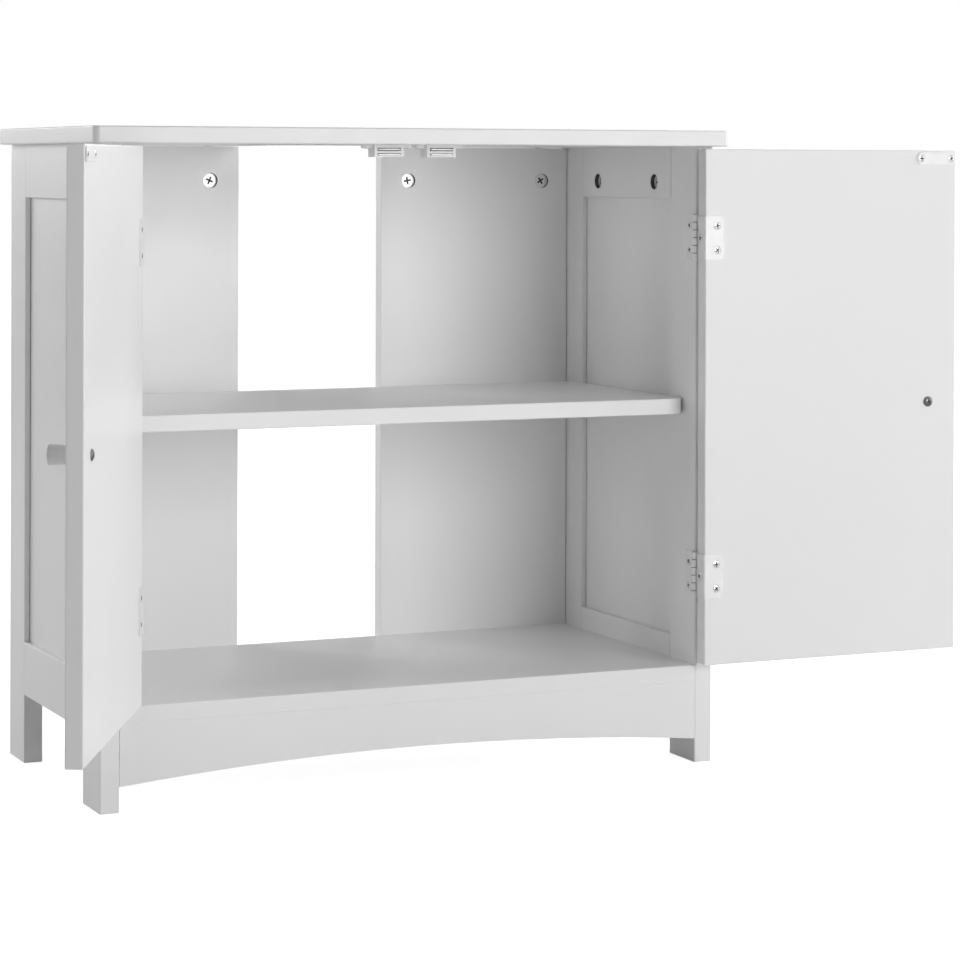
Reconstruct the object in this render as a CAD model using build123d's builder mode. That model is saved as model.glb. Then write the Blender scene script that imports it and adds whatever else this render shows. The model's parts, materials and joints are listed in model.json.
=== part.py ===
from build123d import *
import os

os.makedirs("parts", exist_ok=True)

# Free-standing vanity base cabinet, in millimetres: +X right, -Y front, +Z up.
# The origin is on the floor, at the middle of the four legs.

# Body, measured over the legs, and the height to the top board's upper face
body_width = 604
body_depth = 296
cabinet_height = 600

# Top board, with a notch from the back for pipes
top_thickness = 15
top_side_overhang = 11
top_front_overhang = 14
top_corner_radius = 6
top_edge_radius = 1.5
notch_width = 152
notch_depth = 148
notch_radius = 40

# Legs, which are the stiles of the side frames
leg_width = 18
leg_depth = 51
leg_arris = 1.5
joint_arris = 0.4

# Rails and the thin panel that each side frame holds in grooves
rail_height = 50
bottom_rail_lift = 64.5
side_panel_thickness = 7
tongue_length = 6
groove_end_gap = 1
groove_side_gap = 0.5

# Bottom board and the arched apron under its front edge
board_thickness = 15
board_top_height = 92.5
board_arris = 1
apron_thickness = 15
apron_end_lift = 22.5
apron_middle_lift = 37

# Back panels, one each side of an open middle as wide as the notch
back_thickness = 15
back_top_gap = 0.5
back_side_gap = 0.35
back_arris = 0.8

# Shelf, loose on four pegs
shelf_thickness = 15
shelf_underside_height = 329.6
shelf_front_setback = 18.5
shelf_end_gap = 1
shelf_corner_radius = 12
shelf_arris = 1
peg_radius = 2.5
peg_hole_depth = 9
peg_tongue_length = 8
peg_tongue_width = 7
peg_tongue_thickness = 1.6
peg_tongue_corner = 2
peg_groove_wall = 2
peg_rear_lap = 2

# Doors, inset between the legs
door_thickness = 15
door_bottom_gap = 2
door_top_gap = 2.5
door_hinge_gap = 4.4
door_middle_gap = 3.2
door_arris = 1.5
door_border = 60
door_recess_depth = 4
door_recess_radius = 2.5
left_door_angle = 117
right_door_angle = 180

# Hinges: a flat frame leaf, and a door leaf bent round the door's edge
pin_radius = 1.25
pin_running_gap = 0.05
pin_forward = 2
barrel_radius = 3.2
barrel_clearance = 0.35
hinge_height = 44
hinge_end_inset = 84
knuckle_count = 6
knuckle_gap = 0.35
leaf_thickness = 1.2
frame_leaf_reach = 18
door_leaf_height = 41.5
door_leaf_reach = 18.7
leaf_corner_radius = 2
leaf_screw_spacing = 23
frame_screw_setback = 10.3
door_screw_inset = 12

# Wood screws with a raised countersunk head and a cross recess
screw_radius = 1.6
screw_head_radius = 3.25
screw_crown = 0.5
screw_tip = 2.5
leaf_screw_length = 12
edge_screw_length = 16
hole_clearance = 0.1
hole_end_gap = 0.5
cross_width = 0.9
cross_length = 3.6
cross_depth = 1.4

# Turned knobs and the machine screw through each door
knob_edge_inset = 31
knob_lift = 242.5
knob_length = 20
knob_base_radius = 7.4
knob_end_radius = 8.4
knob_end_rounding = 2
knob_screw_radius = 2
knob_screw_engagement = 12
knob_screw_head_radius = 5
knob_screw_head_height = 2.2

# Strike plates at the free top corner of each door's inner face
strike_length = 43.5
strike_height = 12
strike_thickness = 1.2
strike_edge_inset = 0.9
strike_top_inset = 2
strike_screw_inset = 4.9

# Magnetic catches under the top board
catch_spacing = 52
catch_shift = 2
catch_width = 29
catch_depth = 15.7
catch_height = 11.3
catch_closing_gap = 0.3
catch_ear_span = 49
catch_ear_depth = 9
catch_ear_thickness = 3.2
catch_screw_spacing = 39
catch_screw_length = 14
pole_width = 21.5
pole_depth = 14
pole_thickness = 1.2
pole_reveal = 0.8
pole_floor = 1.7
magnet_width = 19
magnet_depth = 12
magnet_height = 3.6

# Cam locks and their bolts
cam_radius = 7.4
cam_depth = 10
cam_recess = 2.5
cam_setback = 34
cam_cross_width = 1.7
cam_cross_length = 9
cam_cross_depth = 2.5
cam_bolt_bore = 3.8
back_cam_inset = 29.5
side_cam_inset = 35.5
bolt_head_radius = 3.4
bolt_head_height = 2.6
bolt_neck_radius = 2
bolt_neck_length = 3.6
bolt_thread_radius = 2.5
bolt_thread_length = 11

# Dowels in the glued joints
dowel_radius = 4
dowel_length = 30
rail_dowel_spacing = 24
end_dowel_depth = 12
face_dowel_depth = 10
apron_dowel_spacing = 24
apron_top_dowel_spacing = 200
back_dowel_spacing = 165
back_dowel_middle_height = 325

# Planes and places that several pieces share
half_width = body_width / 2
half_depth = body_depth / 2
leg_height = cabinet_height - top_thickness
inner_width = half_width - leg_width
stile_edge = half_depth - leg_depth
frame_middle = half_width - leg_width / 2
board_bottom_height = board_top_height - board_thickness
top_rail_lift = leg_height - rail_height
bottom_rail_top = bottom_rail_lift + rail_height
back_front_face = half_depth - back_thickness
back_middle = half_depth - back_thickness / 2
back_inner_edge = notch_width / 2
back_height = leg_height - back_top_gap - board_bottom_height
board_middle_height = board_top_height - board_thickness / 2
board_rear_edge = back_front_face
apron_middle = half_depth - apron_thickness / 2
pin_place = inner_width - door_hinge_gap / 2
pin_front = half_depth + pin_forward
door_edge = inner_width - door_hinge_gap
door_width = door_edge - door_middle_gap / 2
door_bottom = board_top_height + door_bottom_gap
door_top = leg_height - door_top_gap
door_height = door_top - door_bottom
door_free_edge = door_edge - door_width
door_inner_face = half_depth - door_thickness
peg_place = stile_edge + tongue_length + groove_end_gap + peg_groove_wall + peg_radius
shelf_front = half_depth - shelf_front_setback
shelf_rear = peg_place + peg_tongue_width / 2 + peg_rear_lap
shelf_depth = shelf_front + shelf_rear
knuckle_pitch = hinge_height / knuckle_count
hinge_places = [door_bottom + hinge_end_inset, door_top - hinge_end_inset]
cam_height = leg_height - cam_setback
pole_front = door_inner_face - strike_thickness - catch_closing_gap
catch_front = pole_front - pole_reveal

sides = {"left": -1, "right": 1}
ends = {"front": -1, "rear": 1}
door_angles = {"left": left_door_angle, "right": right_door_angle}


def save(piece, name):
    piece.label = name
    export_step(piece, f"parts/{name}.step")


# A door's pieces are modelled with the door closed, then turned about its hinge pins
def save_on_door(piece, name, hand):
    side = sides[hand]
    pins = Plane(origin=(side * pin_place, -pin_front, 0))
    turned = pins.rotated((0, 0, side * door_angles[hand]))
    save(turned.location * pins.location.inverse() * piece, name)


def box_between(low, high):
    size = [abs(b - a) for a, b in zip(low, high)]
    middle = tuple((a + b) / 2 for a, b in zip(low, high))
    with Locations(middle):
        Box(*size)


# Straight holes, each centred on a place and running along its normal
def bore(places, radius, length):
    with Locations(*places):
        Cylinder(radius, length, mode=Mode.SUBTRACT)


# Blind holes that start at a place and run against its normal
def drill(places, radius, depth):
    with Locations(*places):
        Cylinder(radius, depth, align=(Align.CENTER, Align.CENTER, Align.MAX), mode=Mode.SUBTRACT)


def countersink(places, length):
    with Locations(*places):
        CounterSinkHole(screw_radius + hole_clearance, screw_head_radius + hole_clearance, length + hole_end_gap)


def dowel_holes(places):
    bore(places, dowel_radius + hole_clearance, dowel_length + 2 * hole_end_gap)


# A cross cut down into a head from its top, open above
def cross_recess(top, width, length, depth):
    upwards = (Align.CENTER, Align.CENTER, Align.MIN)
    with Locations((0, 0, top - depth)):
        Box(length, width, 2 * depth, align=upwards, mode=Mode.SUBTRACT)
        Box(width, length, 2 * depth, align=upwards, mode=Mode.SUBTRACT)


# Places of the dowels. Each plane's origin is the dowel's middle and its normal is the dowel's axis.
def rail_dowels(side, end, rail_middle):
    heights = [rail_middle - rail_dowel_spacing / 2, rail_middle + rail_dowel_spacing / 2]
    return [Plane(origin=(side * frame_middle, end * stile_edge, z), z_dir=(0, 1, 0)) for z in heights]


def board_end_dowels(side, end):
    x = side * (inner_width + end_dowel_depth - dowel_length / 2)
    y = end * (half_depth - leg_depth / 2)
    return [Plane(origin=(x, y, board_middle_height), z_dir=(1, 0, 0))]


def apron_end_dowels(side):
    x = side * (inner_width + end_dowel_depth - dowel_length / 2)
    middle = (apron_end_lift + board_bottom_height) / 2
    heights = [middle - apron_dowel_spacing / 2, middle + apron_dowel_spacing / 2]
    return [Plane(origin=(x, -apron_middle, z), z_dir=(1, 0, 0)) for z in heights]


def apron_top_dowels():
    z = board_bottom_height + face_dowel_depth - dowel_length / 2
    steps = [-apron_top_dowel_spacing, 0, apron_top_dowel_spacing]
    return [Plane(origin=(x, -apron_middle, z)) for x in steps]


def back_end_dowels(side):
    x = side * (inner_width + end_dowel_depth - dowel_length / 2)
    heights = [back_dowel_middle_height + step * back_dowel_spacing for step in (-1, 0, 1)]
    return [Plane(origin=(x, back_middle, z), z_dir=(1, 0, 0)) for z in heights]


def back_foot_dowels(side):
    y = board_rear_edge + face_dowel_depth - dowel_length / 2
    steps = [back_inner_edge + back_cam_inset, inner_width - back_cam_inset]
    return [Plane(origin=(side * x, y, board_middle_height), z_dir=(0, 1, 0)) for x in steps]


# Places of the cam locks. Each plane lies on the face that the cam shows on, with its normal out of
# the wood. The x direction points the way the bolt leaves.
def back_cams(side):
    steps = [back_inner_edge + back_cam_inset, inner_width - back_cam_inset]
    face = back_front_face
    return [Plane(origin=(side * x, face, cam_height), x_dir=(0, 0, 1), z_dir=(0, -1, 0)) for x in steps]


def side_cams(side):
    steps = [side_cam_inset - stile_edge, stile_edge - side_cam_inset]
    face = side * inner_width
    return [Plane(origin=(face, y, cam_height), x_dir=(0, 0, 1), z_dir=(-side, 0, 0)) for y in steps]


def bottom_cams(side):
    x = side * (inner_width - cam_setback)
    steps = [side_cam_inset - stile_edge, stile_edge - side_cam_inset]
    return [Plane(origin=(x, y, board_bottom_height), x_dir=(side, 0, 0), z_dir=(0, 0, -1)) for y in steps]


# A bolt's plane has its origin where the two boards meet and its normal towards the threaded end
def bolt_places(cams, thickness):
    places = []
    for cam in cams:
        joint = cam.origin + cam.x_dir * cam_setback - cam.z_dir * (thickness / 2)
        places.append(Plane(origin=joint, z_dir=cam.x_dir))
    return places


def cam_pockets(cams, thickness):
    drill(cams, cam_radius + hole_clearance, cam_recess + cam_depth + hole_clearance)
    reach = [Plane(origin=bolt.origin, z_dir=bolt.z_dir) for bolt in bolt_places(cams, thickness)]
    drill(reach, bolt_head_radius + hole_clearance, cam_setback)


def bolt_threads(places):
    turned = [Plane(origin=place.origin, z_dir=-place.z_dir) for place in places]
    drill(turned, bolt_thread_radius + hole_clearance, bolt_thread_length + hole_end_gap)


top_bolts = []
bottom_bolts = []
for side in sides.values():
    top_bolts += bolt_places(back_cams(side), back_thickness) + bolt_places(side_cams(side), leg_width)
    bottom_bolts += bolt_places(bottom_cams(side), board_thickness)


# Places of the screws. Each plane lies under the head, with its normal out of the wood.
def frame_leaf_screws(side):
    x = side * (inner_width - leaf_thickness)
    y = -(half_depth - frame_screw_setback)
    steps = [-leaf_screw_spacing / 2, leaf_screw_spacing / 2]
    return [Plane(origin=(x, y, z + step), z_dir=(-side, 0, 0)) for z in hinge_places for step in steps]


def door_leaf_screws(side):
    x = side * (door_edge - door_screw_inset)
    y = -(door_inner_face - leaf_thickness)
    steps = [-leaf_screw_spacing / 2, leaf_screw_spacing / 2]
    return [Plane(origin=(x, y, z + step), z_dir=(0, 1, 0)) for z in hinge_places for step in steps]


def edge_screws(side):
    x = side * (door_edge + leaf_thickness)
    y = -(half_depth - door_thickness / 2)
    return [Plane(origin=(x, y, z), z_dir=(side, 0, 0)) for z in hinge_places]


def strike_screws(side):
    near = door_free_edge + strike_edge_inset + strike_screw_inset
    far = door_free_edge + strike_edge_inset + strike_length - strike_screw_inset
    z = door_top - strike_top_inset - strike_height / 2
    y = -(door_inner_face - strike_thickness)
    return [Plane(origin=(side * x, y, z), z_dir=(0, 1, 0)) for x in (near, far)]


def knob_place(side):
    x = side * (door_free_edge + knob_edge_inset)
    return Plane(origin=(x, -half_depth, door_bottom + knob_lift), z_dir=(0, -1, 0))


def knob_screw_seat(side):
    return Plane(origin=knob_place(side).origin + Vector(0, door_thickness, 0), z_dir=(0, 1, 0))


def catch_middle(side):
    return side * catch_spacing / 2 + catch_shift


def catch_screw_places(side):
    y = -(catch_front - catch_depth / 2)
    z = leg_height - catch_ear_thickness
    steps = [-catch_screw_spacing / 2, catch_screw_spacing / 2]
    return [Plane(origin=(catch_middle(side) + step, y, z), z_dir=(0, 0, -1)) for step in steps]


def peg_places(side):
    z = shelf_underside_height - peg_tongue_thickness / 2
    steps = (-peg_place, peg_place)
    return [Plane(origin=(side * inner_width, y, z), x_dir=(0, 0, 1), z_dir=(-side, 0, 0)) for y in steps]


# Top board
top_width = body_width + 2 * top_side_overhang
top_depth = body_depth + top_front_overhang
notch_front = half_depth - notch_depth
with BuildPart() as top_panel:
    with BuildSketch(Plane.XY.offset(leg_height)) as outline:
        with Locations((0, half_depth - top_depth / 2)):
            Rectangle(top_width, top_depth)
        fillet(outline.vertices().group_by(Axis.Y)[0], top_corner_radius)
        with Locations((0, half_depth - notch_depth / 2)):
            Rectangle(notch_width, notch_depth, mode=Mode.SUBTRACT)
        corners = [point for point in outline.vertices() if abs(point.Y - notch_front) < notch_radius / 2]
        fillet(corners, notch_radius)
    extrude(amount=top_thickness)
    fillet(top_panel.edges().group_by(Axis.Z)[-1], top_edge_radius)
    fillet(top_panel.edges().group_by(Axis.Z)[0], top_edge_radius)
    bolt_threads(top_bolts)
    for side in sides.values():
        drill(catch_screw_places(side), screw_radius + hole_clearance, catch_screw_length + hole_end_gap)
save(top_panel.part, "top_panel")


# Legs
def make_leg(side, end):
    outer = (side * half_width, end * half_depth, 0)
    inner = (side * inner_width, end * stile_edge, leg_height)
    with BuildPart() as leg:
        box_between(outer, inner)
        upright = leg.edges().filter_by(Axis.Z).group_by(Axis.Y)
        exposed = upright[0] if end < 0 else upright[-1]
        fillet(exposed, leg_arris)
        stile_corners = leg.edges().filter_by(Axis.Z).group_by(Axis.Y)[-1 if end < 0 else 0]
        chamfer(stile_corners, joint_arris)
        fillet(leg.edges().group_by(Axis.Z)[0], joint_arris)
        groove_low = bottom_rail_top - tongue_length - groove_end_gap
        groove_high = top_rail_lift + tongue_length + groove_end_gap
        groove_depth = tongue_length + groove_end_gap
        with Locations((side * frame_middle, end * (stile_edge + groove_depth / 2), (groove_low + groove_high) / 2)):
            groove_width = side_panel_thickness + 2 * groove_side_gap
            Box(groove_width, groove_depth, groove_high - groove_low, mode=Mode.SUBTRACT)
        dowel_holes(rail_dowels(side, end, top_rail_lift + rail_height / 2))
        dowel_holes(rail_dowels(side, end, bottom_rail_lift + rail_height / 2))
        dowel_holes(board_end_dowels(side, end))
        near_end = [place for place in peg_places(side) if place.origin.Y * end > 0]
        drill(near_end, peg_radius + hole_clearance, peg_hole_depth + hole_end_gap)
        if end < 0:
            dowel_holes(apron_end_dowels(side))
            countersink(frame_leaf_screws(side), leaf_screw_length)
        else:
            dowel_holes(back_end_dowels(side))
    return leg.part


# Rails of the side frames
def make_rail(side, lift, groove_edge):
    with BuildPart() as rail:
        low = (side * inner_width, -stile_edge, lift)
        high = (side * half_width, stile_edge, lift + rail_height)
        box_between(low, high)
        chamfer(rail.edges(), joint_arris)
        groove_depth = tongue_length + groove_end_gap
        edge = lift if groove_edge < 0 else lift + rail_height
        with Locations((side * frame_middle, 0, edge - groove_edge * groove_depth / 2)):
            Box(side_panel_thickness + 2 * groove_side_gap, 2 * stile_edge, groove_depth, mode=Mode.SUBTRACT)
        for end in ends.values():
            dowel_holes(rail_dowels(side, end, lift + rail_height / 2))
        if groove_edge < 0:
            cam_pockets(side_cams(side), leg_width)
        else:
            bolt_threads(bolt_places(bottom_cams(side), board_thickness))
    return rail.part


def make_side_panel(side):
    half_thickness = side_panel_thickness / 2
    low = (side * frame_middle - half_thickness, -stile_edge - tongue_length, bottom_rail_top - tongue_length)
    high = (side * frame_middle + half_thickness, stile_edge + tongue_length, top_rail_lift + tongue_length)
    with BuildPart() as side_panel:
        box_between(low, high)
    return side_panel.part


for hand, side in sides.items():
    for place, end in ends.items():
        save(make_leg(side, end), f"{place}_{hand}_leg")
    save(make_rail(side, top_rail_lift, -1), f"{hand}_top_rail")
    save(make_rail(side, bottom_rail_lift, 1), f"{hand}_bottom_rail")
    save(make_side_panel(side), f"{hand}_side_panel")


# Bottom board
with BuildPart() as bottom_panel:
    box_between((-inner_width, -half_depth, board_bottom_height), (inner_width, board_rear_edge, board_top_height))
    front_edges = bottom_panel.edges().filter_by(Axis.X).group_by(Axis.Y)[0].sort_by(Axis.Z)
    fillet(front_edges[-1], board_arris)
    chamfer(front_edges[0], joint_arris)
    dowel_holes(apron_top_dowels())
    for side in sides.values():
        cam_pockets(bottom_cams(side), board_thickness)
        dowel_holes(back_foot_dowels(side))
        for end in ends.values():
            dowel_holes(board_end_dowels(side, end))
save(bottom_panel.part, "bottom_panel")


# Apron, with an arc for its lower edge
with BuildPart() as front_apron:
    with BuildSketch(Plane.XZ.offset(half_depth - apron_thickness)):
        with BuildLine():
            left_foot = (-inner_width, apron_end_lift)
            right_foot = (inner_width, apron_end_lift)
            ThreePointArc(left_foot, (0, apron_middle_lift), right_foot)
            Polyline(right_foot, (inner_width, board_bottom_height), (-inner_width, board_bottom_height), left_foot)
        make_face()
    extrude(amount=apron_thickness)
    chamfer(front_apron.edges().filter_by(GeomType.CIRCLE), joint_arris)
    chamfer(front_apron.edges().filter_by(Axis.X).group_by(Axis.Y)[0], joint_arris)
    dowel_holes(apron_top_dowels())
    for side in sides.values():
        dowel_holes(apron_end_dowels(side))
save(front_apron.part, "front_apron")


# Back panels
def make_back_panel(side):
    low = (side * back_inner_edge, back_front_face, board_bottom_height)
    high = (side * (inner_width - back_side_gap), half_depth, board_bottom_height + back_height)
    with BuildPart() as back_panel:
        box_between(low, high)
        middle_edges = back_panel.edges().filter_by(Axis.Z).sort_by(lambda edge: abs(edge.center().X))[:2]
        fillet(middle_edges, back_arris)
        cam_pockets(back_cams(side), back_thickness)
        dowel_holes(back_end_dowels(side))
        dowel_holes(back_foot_dowels(side))
    return back_panel.part


for hand, side in sides.items():
    save(make_back_panel(side), f"{hand}_back_panel")


# Shelf, and the pegs whose flat tongues it lies on
with BuildPart() as shelf:
    with BuildSketch(Plane.XY.offset(shelf_underside_height)) as outline:
        with Locations((0, shelf_depth / 2 - shelf_front)):
            Rectangle(2 * (inner_width - shelf_end_gap), shelf_depth)
        fillet(outline.vertices().group_by(Axis.Y)[0], shelf_corner_radius)
    extrude(amount=shelf_thickness)
    fillet(shelf.edges().group_by(Axis.Z)[-1], shelf_arris)
    fillet(shelf.edges().group_by(Axis.Z)[0], shelf_arris)
save(shelf.part, "shelf")

with BuildPart() as peg:
    with BuildSketch(Plane.XY.offset(-peg_hole_depth)):
        Circle(peg_radius)
    extrude(amount=peg_hole_depth)
    with Locations((0, 0, peg_tongue_length / 2)):
        Box(peg_tongue_thickness, peg_tongue_width, peg_tongue_length)
    tip_edges = peg.edges().filter_by(Axis.X).group_by(Axis.Z)[-1]
    fillet(tip_edges, peg_tongue_corner)

with BuildPart() as shelf_pegs:
    for side in sides.values():
        with Locations(*peg_places(side)):
            add(peg.part)
save(shelf_pegs.part, "shelf_pegs")


# Doors: plain inside, with a shallow framed field outside
def make_door(side):
    with BuildPart() as door:
        low = (side * door_free_edge, -half_depth, door_bottom)
        high = (side * door_edge, -door_inner_face, door_top)
        box_between(low, high)
        fillet(door.edges(), door_arris)
        middle = (side * (door_free_edge + door_width / 2), -half_depth, door_bottom + door_height / 2)
        with BuildSketch(Plane(origin=middle, x_dir=(1, 0, 0), z_dir=(0, 1, 0))):
            RectangleRounded(door_width - 2 * door_border, door_height - 2 * door_border, door_recess_radius)
        extrude(amount=door_recess_depth, mode=Mode.SUBTRACT)
        drill([knob_place(side)], knob_screw_radius + hole_clearance, door_thickness)
        countersink(door_leaf_screws(side), leaf_screw_length)
        countersink(edge_screws(side), edge_screw_length)
        countersink(strike_screws(side), leaf_screw_length)
    return door.part


for hand, side in sides.items():
    save_on_door(make_door(side), f"{hand}_door", hand)


# Hinges
def knuckle_bands(hinge_middle, parity):
    foot = hinge_middle - hinge_height / 2
    return [foot + (index + 0.5) * knuckle_pitch for index in range(knuckle_count) if index % 2 == parity]


def knuckles(side, hinge_middle, parity):
    for height in knuckle_bands(hinge_middle, parity):
        with Locations((side * pin_place, -pin_front, height)):
            Cylinder(barrel_radius, knuckle_pitch - knuckle_gap)


def clear_other_knuckles(side, hinge_middle, parity):
    for height in knuckle_bands(hinge_middle, 1 - parity):
        with Locations((side * pin_place, -pin_front, height)):
            Cylinder(barrel_radius + barrel_clearance, knuckle_pitch + knuckle_gap, mode=Mode.SUBTRACT)


def pin_hole(side, hinge_middle):
    bore([(side * pin_place, -pin_front, hinge_middle)], pin_radius + pin_running_gap, hinge_height + barrel_radius)


def make_frame_leaf(side, hinge_middle):
    with BuildPart() as leaf:
        rear_edge = frame_leaf_reach - half_depth
        low = (side * (inner_width - leaf_thickness), -pin_front, hinge_middle - hinge_height / 2)
        high = (side * inner_width, rear_edge, hinge_middle + hinge_height / 2)
        box_between(low, high)
        fillet(leaf.edges().filter_by(Axis.X).group_by(Axis.Y)[-1], leaf_corner_radius)
        clear_other_knuckles(side, hinge_middle, 0)
        knuckles(side, hinge_middle, 0)
        pin_hole(side, hinge_middle)
        countersink(frame_leaf_screws(side), leaf_screw_length)
    return leaf.part


def make_door_leaf(side, hinge_middle):
    bend = -(door_inner_face - leaf_thickness)
    with BuildPart() as leaf:
        low = (side * door_edge, -pin_front, hinge_middle - door_leaf_height / 2)
        high = (side * (door_edge + leaf_thickness), bend, hinge_middle + door_leaf_height / 2)
        box_between(low, high)
        low = (side * (door_edge - door_leaf_reach), -door_inner_face, hinge_middle - door_leaf_height / 2)
        high = (side * (door_edge + leaf_thickness), bend, hinge_middle + door_leaf_height / 2)
        box_between(low, high)
        tips = leaf.edges().filter_by(Axis.Y).sort_by(lambda edge: abs(edge.center().X))[:2]
        fillet(tips, leaf_corner_radius)
        bend_edge = leaf.edges().filter_by(Axis.Z).sort_by(lambda edge: abs(edge.center().X) + edge.center().Y)[-1]
        fillet(bend_edge, leaf_thickness * 0.9)
        clear_other_knuckles(side, hinge_middle, 1)
        knuckles(side, hinge_middle, 1)
        pin_hole(side, hinge_middle)
        countersink(door_leaf_screws(side), leaf_screw_length)
        countersink(edge_screws(side), edge_screw_length)
    return leaf.part


for hand, side in sides.items():
    for level, hinge_middle in zip(("lower", "upper"), hinge_places):
        save(make_frame_leaf(side, hinge_middle), f"{hand}_{level}_hinge_frame_leaf")
        save_on_door(make_door_leaf(side, hinge_middle), f"{hand}_{level}_hinge_door_leaf", hand)

with BuildPart() as hinge_pins:
    for side in sides.values():
        for hinge_middle in hinge_places:
            with Locations((side * pin_place, -pin_front, hinge_middle)):
                Cylinder(pin_radius, hinge_height)
save(hinge_pins.part, "hinge_pins")


# Wood screws: the head's rim is at height 0 and the point is down
def make_screw(length):
    taper_end = -(screw_head_radius - screw_radius)
    with BuildPart() as screw:
        with BuildSketch(Plane.XZ):
            with BuildLine():
                ThreePointArc(
                    (0, screw_crown),
                    (screw_head_radius / 2, screw_crown * 0.77),
                    (screw_head_radius, 0),
                )
                Polyline(
                    (screw_head_radius, 0),
                    (screw_radius, taper_end),
                    (screw_radius, screw_tip - length),
                    (0, -length),
                    (0, screw_crown),
                )
            make_face()
        revolve(axis=Axis.Z)
        cross_recess(screw_crown, cross_width, cross_length, cross_depth)
    return screw.part


leaf_screw = make_screw(leaf_screw_length)
edge_screw = make_screw(edge_screw_length)
catch_screw = make_screw(catch_screw_length)


def make_group(piece, places):
    with BuildPart() as group:
        with Locations(*places):
            add(piece)
    return group.part


with BuildPart() as frame_screws:
    for side in sides.values():
        with Locations(*frame_leaf_screws(side)):
            add(leaf_screw)
save(frame_screws.part, "frame_leaf_screws")

for hand, side in sides.items():
    with BuildPart() as door_screws:
        with Locations(*door_leaf_screws(side)):
            add(leaf_screw)
        with Locations(*edge_screws(side)):
            add(edge_screw)
    save_on_door(door_screws.part, f"{hand}_door_leaf_screws", hand)
    save_on_door(make_group(leaf_screw, strike_screws(side)), f"{hand}_strike_screws", hand)


# Strike plates, square at the door's free edge and round at the other end
def make_strike(side):
    free_end = door_free_edge + strike_edge_inset
    hinge_end = free_end + strike_length
    low_height = door_top - strike_top_inset - strike_height
    with BuildPart() as strike:
        low = (side * free_end, -door_inner_face, low_height)
        high = (side * hinge_end, -(door_inner_face - strike_thickness), low_height + strike_height)
        box_between(low, high)
        far_corners = strike.edges().filter_by(Axis.Y).sort_by(lambda edge: abs(edge.center().X))[2:]
        fillet(far_corners, strike_height / 2 - joint_arris)
        countersink(strike_screws(side), leaf_screw_length)
    return strike.part


for hand, side in sides.items():
    save_on_door(make_strike(side), f"{hand}_strike_plate", hand)


# Knobs: the door's face is at height 0, and the knob widens outwards
with BuildPart() as knob:
    with BuildSketch(Plane.XZ) as profile:
        with BuildLine():
            Polyline(
                (0, 0),
                (knob_base_radius, 0),
                (knob_end_radius, knob_length),
                (0, knob_length),
                close=True,
            )
        make_face()
    revolve(axis=Axis.Z)
    fillet(knob.edges().group_by(Axis.Z)[-1], knob_end_rounding)
    fillet(knob.edges().group_by(Axis.Z)[0], joint_arris)
    with Locations((0, 0, knob_screw_engagement / 2)):
        Cylinder(knob_screw_radius + hole_clearance, knob_screw_engagement + 2 * hole_end_gap, mode=Mode.SUBTRACT)

# Knob screw: the head's seat is at height 0 and its shank is down, through the door and into the knob
knob_screw_length = door_thickness + knob_screw_engagement
with BuildPart() as knob_screw:
    with BuildSketch(Plane.XZ):
        with BuildLine():
            ThreePointArc(
                (0, knob_screw_head_height),
                (knob_screw_head_radius * 0.6, knob_screw_head_height * 0.8),
                (knob_screw_head_radius, 0),
            )
            Polyline(
                (knob_screw_head_radius, 0),
                (knob_screw_radius, 0),
                (knob_screw_radius, -knob_screw_length),
                (0, -knob_screw_length),
                (0, knob_screw_head_height),
            )
        make_face()
    revolve(axis=Axis.Z)
    cross_recess(knob_screw_head_height, cross_width, cross_length, cross_depth)

for hand, side in sides.items():
    save_on_door(knob_place(side).location * knob.part, f"{hand}_knob", hand)
    save_on_door(knob_screw_seat(side).location * knob_screw.part, f"{hand}_knob_screw", hand)


# Magnetic catches: a housing with two ears, two steel pole plates and a magnet between them
pole_low = leg_height - catch_height + pole_floor
pole_high = pole_low + pole_thickness + magnet_height


def make_catch_housing(side):
    x = catch_middle(side)
    y = -(catch_front - catch_depth / 2)
    with BuildPart() as housing:
        with Locations((x, y, leg_height - catch_height / 2)):
            Box(catch_width, catch_depth, catch_height)
        fillet(housing.edges().filter_by(Axis.Y).group_by(Axis.Z)[0], board_arris)
        with BuildSketch(Plane.XY.offset(leg_height - catch_ear_thickness)):
            with Locations((x, y)):
                SlotOverall(catch_ear_span, catch_ear_depth)
        extrude(amount=catch_ear_thickness)
        cavity_depth = pole_depth - pole_reveal + hole_end_gap
        low = pole_low - hole_clearance
        high = pole_high + pole_thickness + hole_clearance
        with Locations((x, -(catch_front - cavity_depth / 2), (low + high) / 2)):
            Box(pole_width + 2 * hole_clearance, cavity_depth, high - low, mode=Mode.SUBTRACT)
        countersink(catch_screw_places(side), catch_screw_length)
    return housing.part


def make_catch_poles(side):
    with BuildPart() as poles:
        for height in (pole_low, pole_high):
            with Locations((catch_middle(side), -(pole_front - pole_depth / 2), height + pole_thickness / 2)):
                Box(pole_width, pole_depth, pole_thickness)
    return poles.part


for hand, side in sides.items():
    save(make_catch_housing(side), f"{hand}_catch_housing")
    save(make_catch_poles(side), f"{hand}_catch_poles")

with BuildPart() as catch_magnets:
    for side in sides.values():
        y = -(catch_front - magnet_depth / 2 - hole_end_gap)
        with Locations((catch_middle(side), y, pole_low + pole_thickness + magnet_height / 2)):
            Box(magnet_width, magnet_depth, magnet_height)
save(catch_magnets.part, "catch_magnets")

with BuildPart() as catch_screws:
    for side in sides.values():
        with Locations(*catch_screw_places(side)):
            add(catch_screw)
save(catch_screws.part, "catch_screws")


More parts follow.
